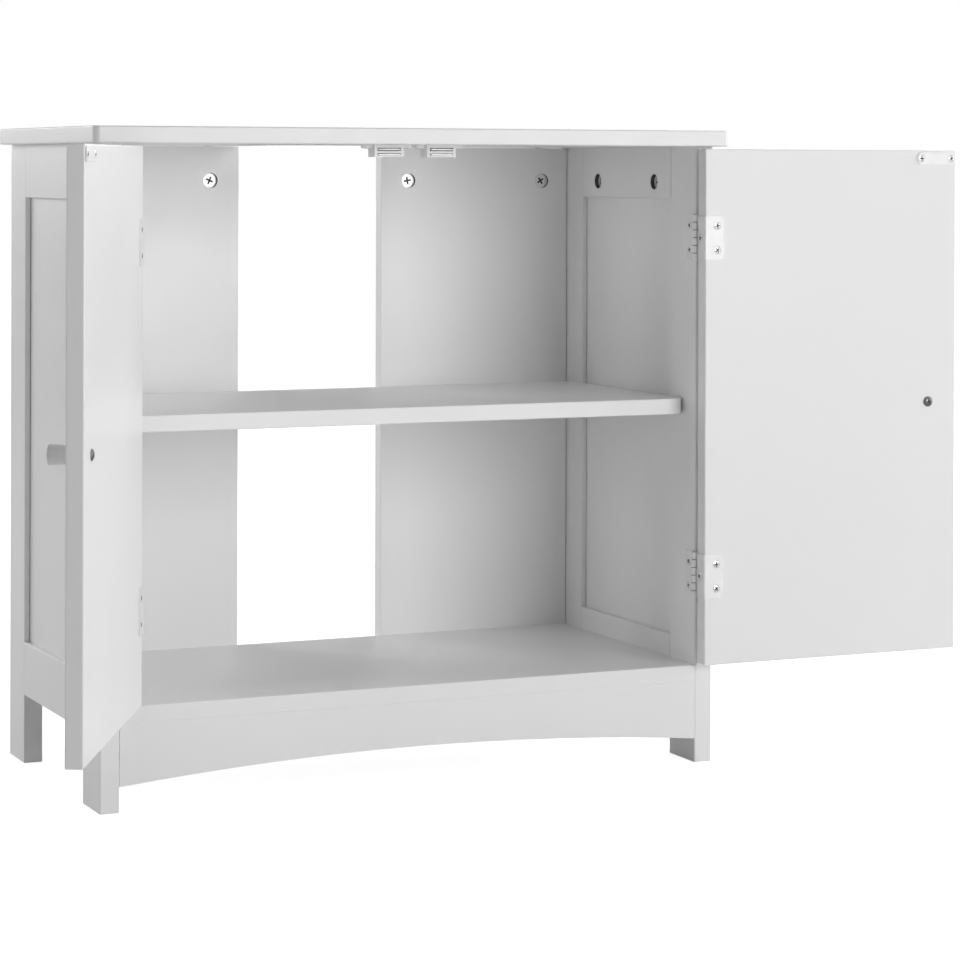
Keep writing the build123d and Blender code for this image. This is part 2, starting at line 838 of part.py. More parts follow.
# Cam locks: the board's face is at height 0, and a side bore takes the bolt's head
def make_cam(thickness):
    with BuildPart() as cam:
        with BuildSketch(Plane.XY.offset(-cam_recess)):
            Circle(cam_radius)
        extrude(amount=-cam_depth)
        chamfer(cam.edges().group_by(Axis.Z)[-1], joint_arris)
        cross_recess(-cam_recess, cam_cross_width, cam_cross_length, cam_cross_depth)
        bore_length = cam_radius + bolt_head_height
        bore_place = Plane(origin=(cam_radius, 0, -thickness / 2), z_dir=(1, 0, 0))
        drill([bore_place], cam_bolt_bore, bore_length)
    return cam.part


# A bolt's origin is where the two boards meet, with its head down in the cam and its thread up
with BuildPart() as cam_bolt:
    neck_top = bolt_head_height + bolt_neck_length - cam_setback
    with BuildSketch(Plane.XZ):
        with BuildLine():
            Polyline(
                (0, -cam_setback),
                (bolt_head_radius, -cam_setback),
                (bolt_head_radius, bolt_head_height - cam_setback),
                (bolt_neck_radius, bolt_head_height - cam_setback),
                (bolt_neck_radius, neck_top),
                (bolt_head_radius, neck_top),
                (bolt_head_radius, 0),
                (bolt_thread_radius, 0),
                (bolt_thread_radius, bolt_thread_length),
                (0, bolt_thread_length),
                close=True,
            )
        make_face()
    revolve(axis=Axis.Z)

cam_families = {
    "back_cam_locks": (back_cams, back_thickness),
    "side_cam_locks": (side_cams, leg_width),
    "bottom_cam_locks": (bottom_cams, board_thickness),
}
for name, (places, thickness) in cam_families.items():
    cam = make_cam(thickness)
    with BuildPart() as cam_locks:
        for side in sides.values():
            with Locations(*places(side)):
                add(cam)
    save(cam_locks.part, name)

save(make_group(cam_bolt.part, top_bolts), "top_cam_bolts")
save(make_group(cam_bolt.part, bottom_bolts), "bottom_cam_bolts")


# Dowels: those of the side frames, and those of the bottom board, the apron and the back panels
with BuildPart() as dowel:
    Cylinder(dowel_radius, dowel_length)
    chamfer(dowel.edges(), joint_arris)

frame_dowel_places = []
board_dowel_places = apron_top_dowels()
for side in sides.values():
    for end in ends.values():
        frame_dowel_places += rail_dowels(side, end, top_rail_lift + rail_height / 2)
        frame_dowel_places += rail_dowels(side, end, bottom_rail_lift + rail_height / 2)
        board_dowel_places += board_end_dowels(side, end)
    board_dowel_places += apron_end_dowels(side) + back_end_dowels(side) + back_foot_dowels(side)
save(make_group(dowel.part, frame_dowel_places), "side_frame_dowels")
save(make_group(dowel.part, board_dowel_places), "board_dowels")
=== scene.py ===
import json
import math

import bmesh
import bpy
from mathutils import Matrix, Vector


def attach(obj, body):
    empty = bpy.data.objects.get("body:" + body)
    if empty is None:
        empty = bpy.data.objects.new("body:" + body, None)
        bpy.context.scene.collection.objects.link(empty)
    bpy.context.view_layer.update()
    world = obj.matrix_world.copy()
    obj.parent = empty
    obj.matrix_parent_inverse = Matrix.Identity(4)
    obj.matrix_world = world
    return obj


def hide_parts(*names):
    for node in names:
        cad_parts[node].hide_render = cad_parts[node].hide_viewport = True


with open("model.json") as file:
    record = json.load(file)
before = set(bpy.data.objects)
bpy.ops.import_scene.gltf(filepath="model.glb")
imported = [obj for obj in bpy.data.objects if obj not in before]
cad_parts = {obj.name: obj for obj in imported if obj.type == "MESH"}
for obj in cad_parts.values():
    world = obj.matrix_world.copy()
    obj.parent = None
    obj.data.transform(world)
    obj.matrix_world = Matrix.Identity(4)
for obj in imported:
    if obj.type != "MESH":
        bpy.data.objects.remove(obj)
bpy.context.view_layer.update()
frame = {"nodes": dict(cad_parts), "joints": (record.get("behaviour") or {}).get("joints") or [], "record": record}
print("frame loaded,", len(frame["nodes"]), "nodes")

scene = bpy.context.scene
hands = {"left": -1, "right": 1}
joints = {joint["child"]: joint for joint in frame["joints"]}
slotOf = {row["node"]: row["material_slot"] for row in frame["record"]["subparts"]}


# The camera stands to the left of the front, at the height of the top board. Its frame is a crop,
# so the lens axis is high in the picture and the uprights stay upright.
def addCamera():
    view = {
        "place": (-1.0607, -2.6478, 0.5646),
        "yaw": 23.912,
        "pitch": -0.059,
        "roll": 0.164,
        "sensor": 36.0,
        "lens": 111.735,
        "shiftX": 0.01177,
        "shiftY": -0.32252,
        "reach": 50,
    }
    yaw = math.radians(view["yaw"])
    pitch = math.radians(view["pitch"])
    roll = math.radians(view["roll"])
    forward = Vector((math.sin(yaw) * math.cos(pitch), math.cos(yaw) * math.cos(pitch), math.sin(pitch)))
    level = Vector((math.cos(yaw), -math.sin(yaw), 0))
    upward = level.cross(forward)
    right = level * math.cos(roll) + upward * math.sin(roll)
    up = upward * math.cos(roll) - level * math.sin(roll)
    data = bpy.data.cameras.new("photoView")
    data.sensor_width = view["sensor"]
    data.lens = view["lens"]
    data.shift_x = view["shiftX"]
    data.shift_y = view["shiftY"]
    data.clip_end = view["reach"]
    camera = bpy.data.objects.new("photoView", data)
    scene.collection.objects.link(camera)
    rotation = Matrix((right, up, -forward)).transposed().to_4x4()
    camera.matrix_world = Matrix.Translation(view["place"]) @ rotation
    scene.camera = camera


addCamera()


# Finishes. Every pattern lies on Object coordinates, in metres.
def startMaterial(name, metal=0.0):
    material = bpy.data.materials.new(name)
    material.use_nodes = True
    shader = material.node_tree.nodes["Principled BSDF"]
    shader.inputs["Metallic"].default_value = metal
    return material, shader


def noiseFactor(tree, scale, detail=2.0, stretch=(1, 1, 1)):
    place = tree.nodes.new("ShaderNodeTexCoord")
    mapping = tree.nodes.new("ShaderNodeMapping")
    mapping.inputs["Scale"].default_value = stretch
    noise = tree.nodes.new("ShaderNodeTexNoise")
    noise.inputs["Scale"].default_value = scale
    noise.inputs["Detail"].default_value = detail
    tree.links.new(place.outputs["Object"], mapping.inputs["Vector"])
    tree.links.new(mapping.outputs["Vector"], noise.inputs["Vector"])
    return noise.outputs[0]


noiseSpan = (0.3, 0.7)  # where nearly all of a noise's values lie


def toneFrom(tree, factor, low, high):
    ramp = tree.nodes.new("ShaderNodeValToRGB")
    ramp.color_ramp.elements[0].position = noiseSpan[0]
    ramp.color_ramp.elements[1].position = noiseSpan[1]
    ramp.color_ramp.elements[0].color = (*low, 1)
    ramp.color_ramp.elements[1].color = (*high, 1)
    tree.links.new(factor, ramp.inputs["Fac"])
    return ramp.outputs["Color"]


def valueFrom(tree, factor, source, target):
    spread = tree.nodes.new("ShaderNodeMapRange")
    spread.inputs["From Min"].default_value = source[0]
    spread.inputs["From Max"].default_value = source[1]
    spread.inputs["To Min"].default_value = target[0]
    spread.inputs["To Max"].default_value = target[1]
    tree.links.new(factor, spread.inputs["Value"])
    return spread.outputs["Result"]


def bumpFrom(tree, factor, strength, distance, below=None):
    bump = tree.nodes.new("ShaderNodeBump")
    bump.inputs["Strength"].default_value = strength
    bump.inputs["Distance"].default_value = distance
    tree.links.new(factor, bump.inputs["Height"])
    if below:
        tree.links.new(below, bump.inputs["Normal"])
    return bump.outputs["Normal"]


def cloudyTone(tree, finish):
    low = [finish["tone"] - finish["mottle"]] * 3
    high = [finish["tone"] + finish["mottle"]] * 3
    return toneFrom(tree, noiseFactor(tree, finish["cloudScale"], 3.0), low, high)


reliefDepths = {"peel": 0.0002, "grain": 0.0003, "brush": 0.0001, "speck": 0.0002}


# White lacquer: faint cloudiness, the fine dimples of a sprayed coat, and on solid wood its grain
def lacquer(name, finish, stretch=None):
    material, shader = startMaterial(name)
    tree = material.node_tree
    tree.links.new(cloudyTone(tree, finish), shader.inputs["Base Color"])
    haze = noiseFactor(tree, finish["hazeScale"])
    tree.links.new(valueFrom(tree, haze, noiseSpan, finish["rough"]), shader.inputs["Roughness"])
    peel = noiseFactor(tree, finish["peelScale"], 1.0)
    relief = bumpFrom(tree, peel, finish["peel"], reliefDepths["peel"])
    if stretch:
        grain = noiseFactor(tree, finish["grainScale"], 4.0, stretch)
        relief = bumpFrom(tree, grain, finish["grain"], reliefDepths["grain"], relief)
    tree.links.new(relief, shader.inputs["Normal"])
    return material


# Metal and plating: white plating with little metal in it takes the tone of the lacquer around it
def plated(name, finish):
    material, shader = startMaterial(name, finish["metal"])
    tree = material.node_tree
    tree.links.new(cloudyTone(tree, finish), shader.inputs["Base Color"])
    brushed = noiseFactor(tree, finish["brushScale"], 3.0, finish["brush"])
    tree.links.new(valueFrom(tree, brushed, noiseSpan, finish["rough"]), shader.inputs["Roughness"])
    relief = bumpFrom(tree, brushed, finish["relief"], reliefDepths["brush"])
    tree.links.new(relief, shader.inputs["Normal"])
    return material


def plain(name, finish):
    material, shader = startMaterial(name)
    tree = material.node_tree
    speck = noiseFactor(tree, finish["speckScale"], 3.0, finish.get("stretch", (1, 1, 1)))
    tree.links.new(toneFrom(tree, speck, finish["low"], finish["high"]), shader.inputs["Base Color"])
    tree.links.new(valueFrom(tree, speck, noiseSpan, finish["rough"]), shader.inputs["Roughness"])
    relief = bumpFrom(tree, speck, finish["relief"], reliefDepths["speck"])
    tree.links.new(relief, shader.inputs["Normal"])
    return material


paints = {
    "board": {"tone": 0.92, "mottle": 0.005, "cloudScale": 7, "rough": (0.30, 0.37), "hazeScale": 24,
              "peelScale": 900, "peel": 0.05, "grainScale": 60, "grain": 0.05},
    "frame": {"tone": 0.92, "mottle": 0.006, "cloudScale": 9, "rough": (0.34, 0.42), "hazeScale": 30,
              "peelScale": 800, "peel": 0.06, "grainScale": 60, "grain": 0.06},
    "door": {"tone": 0.92, "mottle": 0.005, "cloudScale": 6, "rough": (0.32, 0.39), "hazeScale": 24,
             "peelScale": 900, "peel": 0.05, "grainScale": 60, "grain": 0.05},
    "knob": {"tone": 0.93, "mottle": 0.008, "cloudScale": 40, "rough": (0.26, 0.34), "hazeScale": 90,
             "peelScale": 1500, "peel": 0.05, "grainScale": 120, "grain": 0.05},
}
metals = {
    "nickel": {"metal": 0.15, "tone": 0.88, "mottle": 0.02, "cloudScale": 90, "rough": (0.38, 0.48),
               "brushScale": 300, "brush": (1, 1, 0.3), "relief": 0.02},
    "screw": {"metal": 0.6, "tone": 0.80, "mottle": 0.05, "cloudScale": 400, "rough": (0.30, 0.40),
              "brushScale": 900, "brush": (1, 1, 1), "relief": 0.05},
    "dark": {"metal": 0.8, "tone": 0.20, "mottle": 0.03, "cloudScale": 300, "rough": (0.32, 0.42),
             "brushScale": 700, "brush": (1, 1, 1), "relief": 0.05},
    "pole": {"metal": 0.4, "tone": 0.62, "mottle": 0.04, "cloudScale": 120, "rough": (0.34, 0.45),
             "brushScale": 700, "brush": (0.1, 1, 1), "relief": 0.06},
    "cam": {"metal": 0.85, "tone": 0.84, "mottle": 0.03, "cloudScale": 500, "rough": (0.36, 0.50),
            "brushScale": 1200, "brush": (1, 1, 1), "relief": 0.15},
}
plains = {
    "plastic": {"low": (0.91, 0.91, 0.91), "high": (0.94, 0.94, 0.94), "speckScale": 500,
                "rough": (0.42, 0.50), "relief": 0.04},
    # Near-black painted shade for the insides of screw and cam crosses and of the catch slots
    "recess": {"low": (0.015, 0.015, 0.015), "high": (0.04, 0.04, 0.04), "speckScale": 900,
               "rough": (0.55, 0.75), "relief": 0.2},
    # Bare fibreboard darkened to near-black as painted shade in the cam pockets
    "fibre": {"low": (0.05, 0.048, 0.045), "high": (0.12, 0.115, 0.108), "speckScale": 1200,
              "rough": (0.85, 0.95), "relief": 0.6},
    "ferrite": {"low": (0.03, 0.03, 0.03), "high": (0.06, 0.06, 0.06), "speckScale": 800,
                "rough": (0.5, 0.65), "relief": 0.2},
    "beech": {"low": (0.52, 0.39, 0.26), "high": (0.64, 0.50, 0.35), "speckScale": 220,
              "rough": (0.6, 0.75), "relief": 0.3, "stretch": (1, 0.15, 1)},
    "floor": {"low": (0.78, 0.78, 0.78), "high": (0.80, 0.80, 0.80), "speckScale": 3,
              "rough": (0.75, 0.85), "relief": 0.0},
}
boardLacquer = lacquer("boardLacquer", paints["board"])
uprightLacquer = lacquer("uprightLacquer", paints["frame"], (1, 1, 0.05))
railLacquer = lacquer("railLacquer", paints["frame"], (1, 0.05, 1))
doorLacquer = lacquer("doorLacquer", paints["door"])
knobLacquer = lacquer("knobLacquer", paints["knob"], (1, 0.2, 1))
nickelPlate = plated("nickelPlate", metals["nickel"])
screwSteel = plated("screwSteel", metals["screw"])
darkSteel = plated("darkSteel", metals["dark"])
poleSteel = plated("poleSteel", metals["pole"])
camZinc = plated("camZinc", metals["cam"])
whitePlastic = plain("whitePlastic", plains["plastic"])
darkRecess = plain("darkRecess", plains["recess"])
rawFibre = plain("rawFibre", plains["fibre"])
ferrite = plain("ferrite", plains["ferrite"])
beech = plain("beech", plains["beech"])
slotFinish = {
    "board_lacquer": boardLacquer,
    "frame_lacquer": uprightLacquer,
    "door_lacquer": doorLacquer,
    "knob_lacquer": knobLacquer,
    "nickel_plate": nickelPlate,
    "screw_steel": screwSteel,
    "pole_steel": poleSteel,
    "cam_zinc": camZinc,
    "magnet_ferrite": ferrite,
    "catch_plastic": whitePlastic,
    "beech_dowel": beech,
}
for node, piece in frame["nodes"].items():
    piece.data.materials.clear()
    piece.data.materials.append(slotFinish[slotOf[node]])
print("finishes made")


# Mesh helpers
def linkPiece(name, data):
    piece = bpy.data.objects.new(name, data)
    scene.collection.objects.link(piece)
    return piece


def meshOf(piece):
    depsgraph = bpy.context.evaluated_depsgraph_get()
    return bpy.data.meshes.new_from_object(piece.evaluated_get(depsgraph), depsgraph=depsgraph)


def drop(*pieces):
    for piece in pieces:
        bpy.data.objects.remove(piece)


def meshFrom(name, points, faces, sharp=30, outward=True):
    mesh = bpy.data.meshes.new(name)
    mesh.from_pydata(points, [], faces)
    return tidyMesh(mesh, sharp, outward)


# Merges the seams, turns the faces outwards, and shades the mesh smooth except over its edges
mergeDistance = 1e-6
smallest = 1e-7


def tidyMesh(mesh, sharp=30, outward=True):
    shape = bmesh.new()
    shape.from_mesh(mesh)
    bmesh.ops.remove_doubles(shape, verts=shape.verts, dist=mergeDistance)
    bmesh.ops.dissolve_degenerate(shape, dist=smallest, edges=shape.edges)
    if outward:
        bmesh.ops.recalc_face_normals(shape, faces=shape.faces)
    for face in shape.faces:
        face.smooth = True
    for edge in shape.edges:
        edge.smooth = len(edge.link_faces) == 2 and edge.calc_face_angle(0) < math.radians(sharp)
    shape.to_mesh(mesh)
    shape.free()
    return mesh


def evenNormals(mesh):
    holder = linkPiece("evenNormals", mesh)
    weighted = holder.modifiers.new("weighted", "WEIGHTED_NORMAL")
    weighted.keep_sharp = True
    result = meshOf(holder)
    drop(holder)
    return result


def addPiece(name, mesh, body, slotName, material, *nodes):
    if material:
        mesh.materials.clear()
        mesh.materials.append(material)
    piece = linkPiece(name, mesh)
    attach(piece, body)
    if nodes:
        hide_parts(*nodes)


# Turns what is modelled on a closed door to the angle that the door stands open at
def openDoor(mesh, hand):
    joint = joints[f"{hand}_door"]
    pins = Matrix.Translation(joint["pos_m"])
    angle = -math.radians(joint["range_deg"][0])
    mesh.transform(pins @ Matrix.Rotation(angle, 4, joint["axis"]) @ pins.inverted())
    return mesh


def mirrorToHand(mesh, side):
    if side < 0:
        mesh.transform(Matrix.Scale(-1, 4, (1, 0, 0)))
        mesh.flip_normals()
    return mesh


def ringPoints(centre, radius, count):
    turns = [2 * math.pi * step / count for step in range(count)]
    return [(centre[0] + radius * math.cos(turn), centre[1] + radius * math.sin(turn)) for turn in turns]


# A polygon whose corners are rounded, each to its own radius
def roundedLoop(corners, radii, steps=6):
    loop = []
    for index, (corner, radius) in enumerate(zip(corners, radii)):
        point = Vector(corner)
        if not radius:
            loop.append(tuple(point))
            continue
        before = (Vector(corners[index - 1]) - point).normalized()
        after = (Vector(corners[(index + 1) % len(corners)]) - point).normalized()
        half = before.angle(after) / 2
        centre = point + (before + after).normalized() * radius / math.sin(half)
        start = point + before * radius / math.tan(half) - centre
        end = point + after * radius / math.tan(half) - centre
        for step in range(steps + 1):
            loop.append(tuple(centre + start.slerp(end, step / steps).normalized() * radius))
    return loop


# A flat plate with holes, cut from sheet and with its edges eased. The edges stay sharp in the shading, so
# that the flat faces are even.
plateSharp = 12


def plateMesh(loops, thickness, ease):
    data = bpy.data.curves.new("plate", "CURVE")
    data.dimensions = "2D"
    data.fill_mode = "BOTH"
    data.extrude = thickness / 2 - ease
    data.bevel_depth = ease
    data.bevel_resolution = 1
    data.offset = -ease
    for loop in loops:
        spline = data.splines.new("POLY")
        spline.points.add(len(loop) - 1)
        for point, place in zip(spline.points, loop):
            point.co = (*place, 0, 1)
        spline.use_cyclic_u = True
    holder = linkPiece("plate", data)
    mesh = meshOf(holder)
    drop(holder)
    return tidyMesh(mesh, plateSharp)


def latheMesh(name, profile, segments, sharp=35):
    points = []
    rings = []
    for radius, height in profile:
        if radius < smallest:
            rings.append([len(points)])
            points.append((0, 0, height))
            continue
        rings.append(list(range(len(points), len(points) + segments)))
        points += [(x, y, height) for x, y in ringPoints((0, 0), radius, segments)]
    faces = []
    for lower, upper in zip(rings, rings[1:]):
        for step in range(segments):
            following = (step + 1) % segments
            if len(lower) == 1:
                faces.append((lower[0], upper[following], upper[step]))
            elif len(upper) == 1:
                faces.append((lower[step], lower[following], upper[0]))
            else:
                faces.append((lower[step], lower[following], upper[following], upper[step]))
    return meshFrom(name, points, faces, sharp)


# Wooden pieces: merged copies of the frame's nodes, so that their rounded edges shade evenly. The rails and
# the back panels stand a hair off the legs, where the photograph shows dark seams.
seamSizes = {"edge": 0.0002, "rail": 0.0005, "panel": 0.0005}


def smoothCopy(node, body, material, axis=None, gaps=(0, 0)):
    source = frame["nodes"][node].data
    points = [list(vertex.co) for vertex in source.vertices]
    if axis is not None:
        low = min(point[axis] for point in points)
        high = max(point[axis] for point in points)
        for point in points:
            if point[axis] < low + seamSizes["edge"]:
                point[axis] += gaps[0]
            elif point[axis] > high - seamSizes["edge"]:
                point[axis] -= gaps[1]
    faces = [tuple(polygon.vertices) for polygon in source.polygons]
    mesh = evenNormals(meshFrom(node, points, faces, 32, outward=False))
    words = node.split("_")
    name = words[0] + "".join(word.capitalize() for word in words[1:])
    addPiece(name, mesh, body, slotOf[node], material, node)


for node in ("top_panel", "bottom_panel", "front_apron", "shelf"):
    smoothCopy(node, "cabinet", boardLacquer)
smoothCopy("left_back_panel", "cabinet", boardLacquer, 0, (seamSizes["panel"], 0))
smoothCopy("right_back_panel", "cabinet", boardLacquer, 0, (0, seamSizes["panel"]))
for hand in hands:
    for node in (f"front_{hand}_leg", f"rear_{hand}_leg", f"{hand}_side_panel"):
        smoothCopy(node, "cabinet", uprightLacquer)
    for node in (f"{hand}_top_rail", f"{hand}_bottom_rail"):
        smoothCopy(node, "cabinet", railLacquer, 1, (seamSizes["rail"], seamSizes["rail"]))
    smoothCopy(f"{hand}_door", f"{hand}_door", doorLacquer)
smoothCopy("shelf_pegs", "cabinet", nickelPlate)
print("woodwork copied")


# A node group that takes geometry and the named inputs, and gives geometry
def startTree(name, inputs):
    tree = bpy.data.node_groups.new(name, "GeometryNodeTree")
    for label, kind in {"Geometry": "Geometry", **inputs}.items():
        tree.interface.new_socket(name=label, in_out="INPUT", socket_type=f"NodeSocket{kind}")
    tree.interface.new_socket(name="Geometry", in_out="OUTPUT", socket_type="NodeSocketGeometry")
    return tree


# Cross-headed fittings: each is set on a point that carries its direction, and its cross is cut after it
# is turned, so a cam's cross can stand at any angle over the bore that its bolt enters by
def fittingTree():
    inputs = {"Fitting": "Object", "Cross": "Object", "Finish": "Material", "Recess finish": "Material"}
    tree = startTree("crossHeadFittings", inputs)
    add = tree.nodes.new
    link = tree.links.new
    source = add("NodeGroupInput")
    result = add("NodeGroupOutput")
    realized = []
    for part, attribute in (("Fitting", "aim"), ("Cross", "spin")):
        info = add("GeometryNodeObjectInfo")
        turned = add("GeometryNodeInputNamedAttribute")
        turned.data_type = "QUATERNION"
        turned.inputs["Name"].default_value = attribute
        copies = add("GeometryNodeInstanceOnPoints")
        solid = add("GeometryNodeRealizeInstances")
        link(source.outputs[part], info.inputs["Object"])
        link(source.outputs["Geometry"], copies.inputs["Points"])
        link(info.outputs["Geometry"], copies.inputs["Instance"])
        link(turned.outputs["Attribute"], copies.inputs["Rotation"])
        link(copies.outputs["Instances"], solid.inputs["Geometry"])
        realized.append(solid)
    cut = add("GeometryNodeMeshBoolean")
    cut.operation = "DIFFERENCE"
    cut.solver = "EXACT"
    final = add("GeometryNodeRealizeInstances")
    # The walls that the cross cuts keep its painted shade, and the rest takes the finish
    recess = add("GeometryNodeMaterialSelection")
    rest = add("FunctionNodeBooleanMath")
    rest.operation = "NOT"
    finish = add("GeometryNodeSetMaterial")
    link(realized[0].outputs["Geometry"], cut.inputs["Mesh 1"])
    link(realized[1].outputs["Geometry"], cut.inputs["Mesh 2"])
    link(cut.outputs["Mesh"], final.inputs["Geometry"])
    link(source.outputs["Recess finish"], recess.inputs["Material"])
    link(recess.outputs["Selection"], rest.inputs[0])
    link(final.outputs["Geometry"], finish.inputs["Geometry"])
    link(rest.outputs["Boolean"], finish.inputs["Selection"])
    link(source.outputs["Finish"], finish.inputs["Material"])
    link(finish.outputs["Geometry"], result.inputs["Geometry"])
    return tree


def setInputs(modifier, values):
    for item in modifier.node_group.interface.items_tree:
        if item.in_out == "INPUT" and item.name in values:
            modifier[item.identifier] = values[item.name]


# Rows of (place, outward direction, direction of the bore, turn of the cross in degrees)
def pointMesh(name, rows):
    mesh = bpy.data.meshes.new(name)
    mesh.from_pydata([row[0] for row in rows], [], [])
    aim = mesh.attributes.new("aim", "QUATERNION", "POINT")
    spin = mesh.attributes.new("spin", "QUATERNION", "POINT")
    for index, (place, outward, bore, turn) in enumerate(rows):
        normal = Vector(outward)
        across = Vector(bore)
        square = Matrix((across, normal.cross(across), normal)).transposed().to_quaternion()
        cross = Matrix.Rotation(math.radians(turn), 3, normal).to_quaternion() @ square
        aim.data[index].value = tuple(square)
        spin.data[index].value = tuple(cross)
    return mesh


crossHeads = fittingTree()


def setFittings(name, rows, fitting, cross, finish):
    holder = linkPiece(name, pointMesh(name, rows))
    modifier = holder.modifiers.new("fittings", "NODES")
    modifier.node_group = crossHeads
    values = {"Fitting": fitting, "Finish": finish, "Recess finish": darkRecess}
    if cross:
        values["Cross"] = cross
    setInputs(modifier, values)
    mesh = meshOf(holder)
    drop(holder)
    return tidyMesh(mesh, 35)


# A cross for a driver: four tapered arms that narrow towards the bottom, carrying near-black painted shade for the
# dark of the recess it cuts
def crossMesh(name, sizes):
    points = []
    for height, shrink in ((sizes["rise"], 1.0), (0, 1.0), (-sizes["depth"], sizes["taper"])):
        arm = sizes["length"] / 2 * shrink
        half = sizes["width"] / 2 * shrink
        quarter = [(arm, -half), (arm, half), (half, half)]
        for turn in range(4):
            spin = Matrix.Rotation(turn * math.pi / 2, 2)
            points += [(*(spin @ Vector(place)), height) for place in quarter]
    faces = [tuple(range(12)), tuple(range(24, 36))]
    for level in (0, 12):
        for step in range(12):
            following = (step + 1) % 12
            faces.append((level + step, level + following, level + 12 + following, level + 12 + step))
    mesh = meshFrom(name, points, faces)
    mesh.materials.append(darkRecess)
    return mesh


# Wood screw with a raised countersunk head; the head's rim is at height 0 and the point is down
def woodScrewMesh(name, sizes):
    head = sizes["head"]
    shank = sizes["shank"]
    profile = [(0, -sizes["length"])]
    low = sizes["tip"] - sizes["length"]
    high = shank - head - sizes["neck"]
    count = int((high - low) / sizes["pitch"])
    for turn in range(count):
        height = low + turn * sizes["pitch"]
        profile += [(sizes["core"], height), (shank, height + sizes["pitch"] / 2)]
    profile += [(shank, high), (shank, shank - head), (head, -sizes["rim"]), (head, 0)]
    for step in (0.8, 0.6, 0.4, 0.2, 0):
        profile.append((head * step, sizes["crown"] * (1 - step * step)))
    return latheMesh(name, profile, 32)


screwSizes = {"head": 0.00325, "shank": 0.0016, "core": 0.0012, "crown": 0.0005, "tip": 0.0025,
              "neck": 0.001, "pitch": 0.0011, "rim": 0.00015}
screwCrossSizes = {"width": 0.0011, "length": 0.0046, "depth": 0.0011, "taper": 0.6, "rise": 0.0012}
leafScrew = linkPiece("leafScrew", woodScrewMesh("leafScrew", {**screwSizes, "length": 0.012}))
edgeScrew = linkPiece("edgeScrew", woodScrewMesh("edgeScrew", {**screwSizes, "length": 0.016}))
catchScrew = linkPiece("catchScrew", woodScrewMesh("catchScrew", {**screwSizes, "length": 0.014}))
screwCross = linkPiece("screwCross", crossMesh("screwCross", screwCrossSizes))

# Knob screw: a pan head over the door's inner face
panSizes = {"head": 0.005, "height": 0.0022, "shank": 0.002, "length": 0.027, "edge": 0.0005, "tip": 0.0005}
panProfile = [(0, -panSizes["length"]), (panSizes["shank"], -panSizes["length"] + panSizes["tip"]),
              (panSizes["shank"], 0), (panSizes["head"], 0), (panSizes["head"], panSizes["edge"])]
rise = panSizes["height"] - panSizes["edge"]
for step in (0.95, 0.85, 0.7, 0.45, 0.2, 0):
    panProfile.append((panSizes["head"] * step, panSizes["edge"] + rise * (1 - step ** 3)))
panScrew = linkPiece("panScrew", latheMesh("panScrew", panProfile, 40))
panCrossSizes = {"width": 0.0011, "length": 0.0046, "depth": 0.0016, "taper": 0.5, "rise": 0.003}
panCross = linkPiece("panCross", crossMesh("panCross", panCrossSizes))

# Where the screws sit on the closed cabinet, on the side of positive x
hingeHeights = (0.1785, 0.4985)
spots = {
    "leafX": 0.2828, "leafY": -0.1377, "leafStep": 0.0115,
    "doorFaceX": 0.2676, "doorFaceY": -0.1318,
    "doorEdgeX": 0.2808, "doorEdgeY": -0.1405,
    "strikeX": (0.0074, 0.0411), "strikeZ": 0.5745,
    "catchMiddle": 0.026, "catchShift": 0.002, "catchStep": 0.0195, "catchY": -0.12285, "catchZ": 0.5818,
    "knobX": 0.0326, "knobY": -0.133, "knobZ": 0.337,
}
upwards = (0, 0, 1)
frameRows = []
catchRows = []
for side in hands.values():
    for height in hingeHeights:
        for end, turn in ((-1, 20), (1, 55)):
            place = (side * spots["leafX"], spots["leafY"], height + end * spots["leafStep"])
            frameRows.append((place, (-side, 0, 0), upwards, turn))
    for end, turn in ((-1, 10), (1, 40)):
        x = side * spots["catchMiddle"] + spots["catchShift"] + end * spots["catchStep"]
        catchRows.append(((x, spots["catchY"], spots["catchZ"]), (0, 0, -1), (1, 0, 0), turn))
frameScrews = setFittings("frameLeafScrews", frameRows, leafScrew, screwCross, screwSteel)
addPiece("frameLeafScrews", frameScrews, "cabinet", "screw_steel", None, "frame_leaf_screws")
catchScrews = setFittings("catchScrews", catchRows, catchScrew, screwCross, screwSteel)
addPiece("catchScrews", catchScrews, "cabinet", "screw_steel", None, "catch_screws")


def joinMeshes(name, meshes):
    points = []
    faces = []
    picks = []
    materials = list(meshes[0].materials)
    for mesh in meshes:
        start = len(points)
        points += [tuple(vertex.co) for vertex in mesh.vertices]
        for polygon in mesh.polygons:
            faces.append([start + index for index in polygon.vertices])
            picks.append(polygon.material_index)
    joined = bpy.data.meshes.new(name)
    joined.from_pydata(points, [], faces)
    for material in materials:
        joined.materials.append(material)
    joined.polygons.foreach_set("material_index", picks)
    return tidyMesh(joined, 35, outward=False)


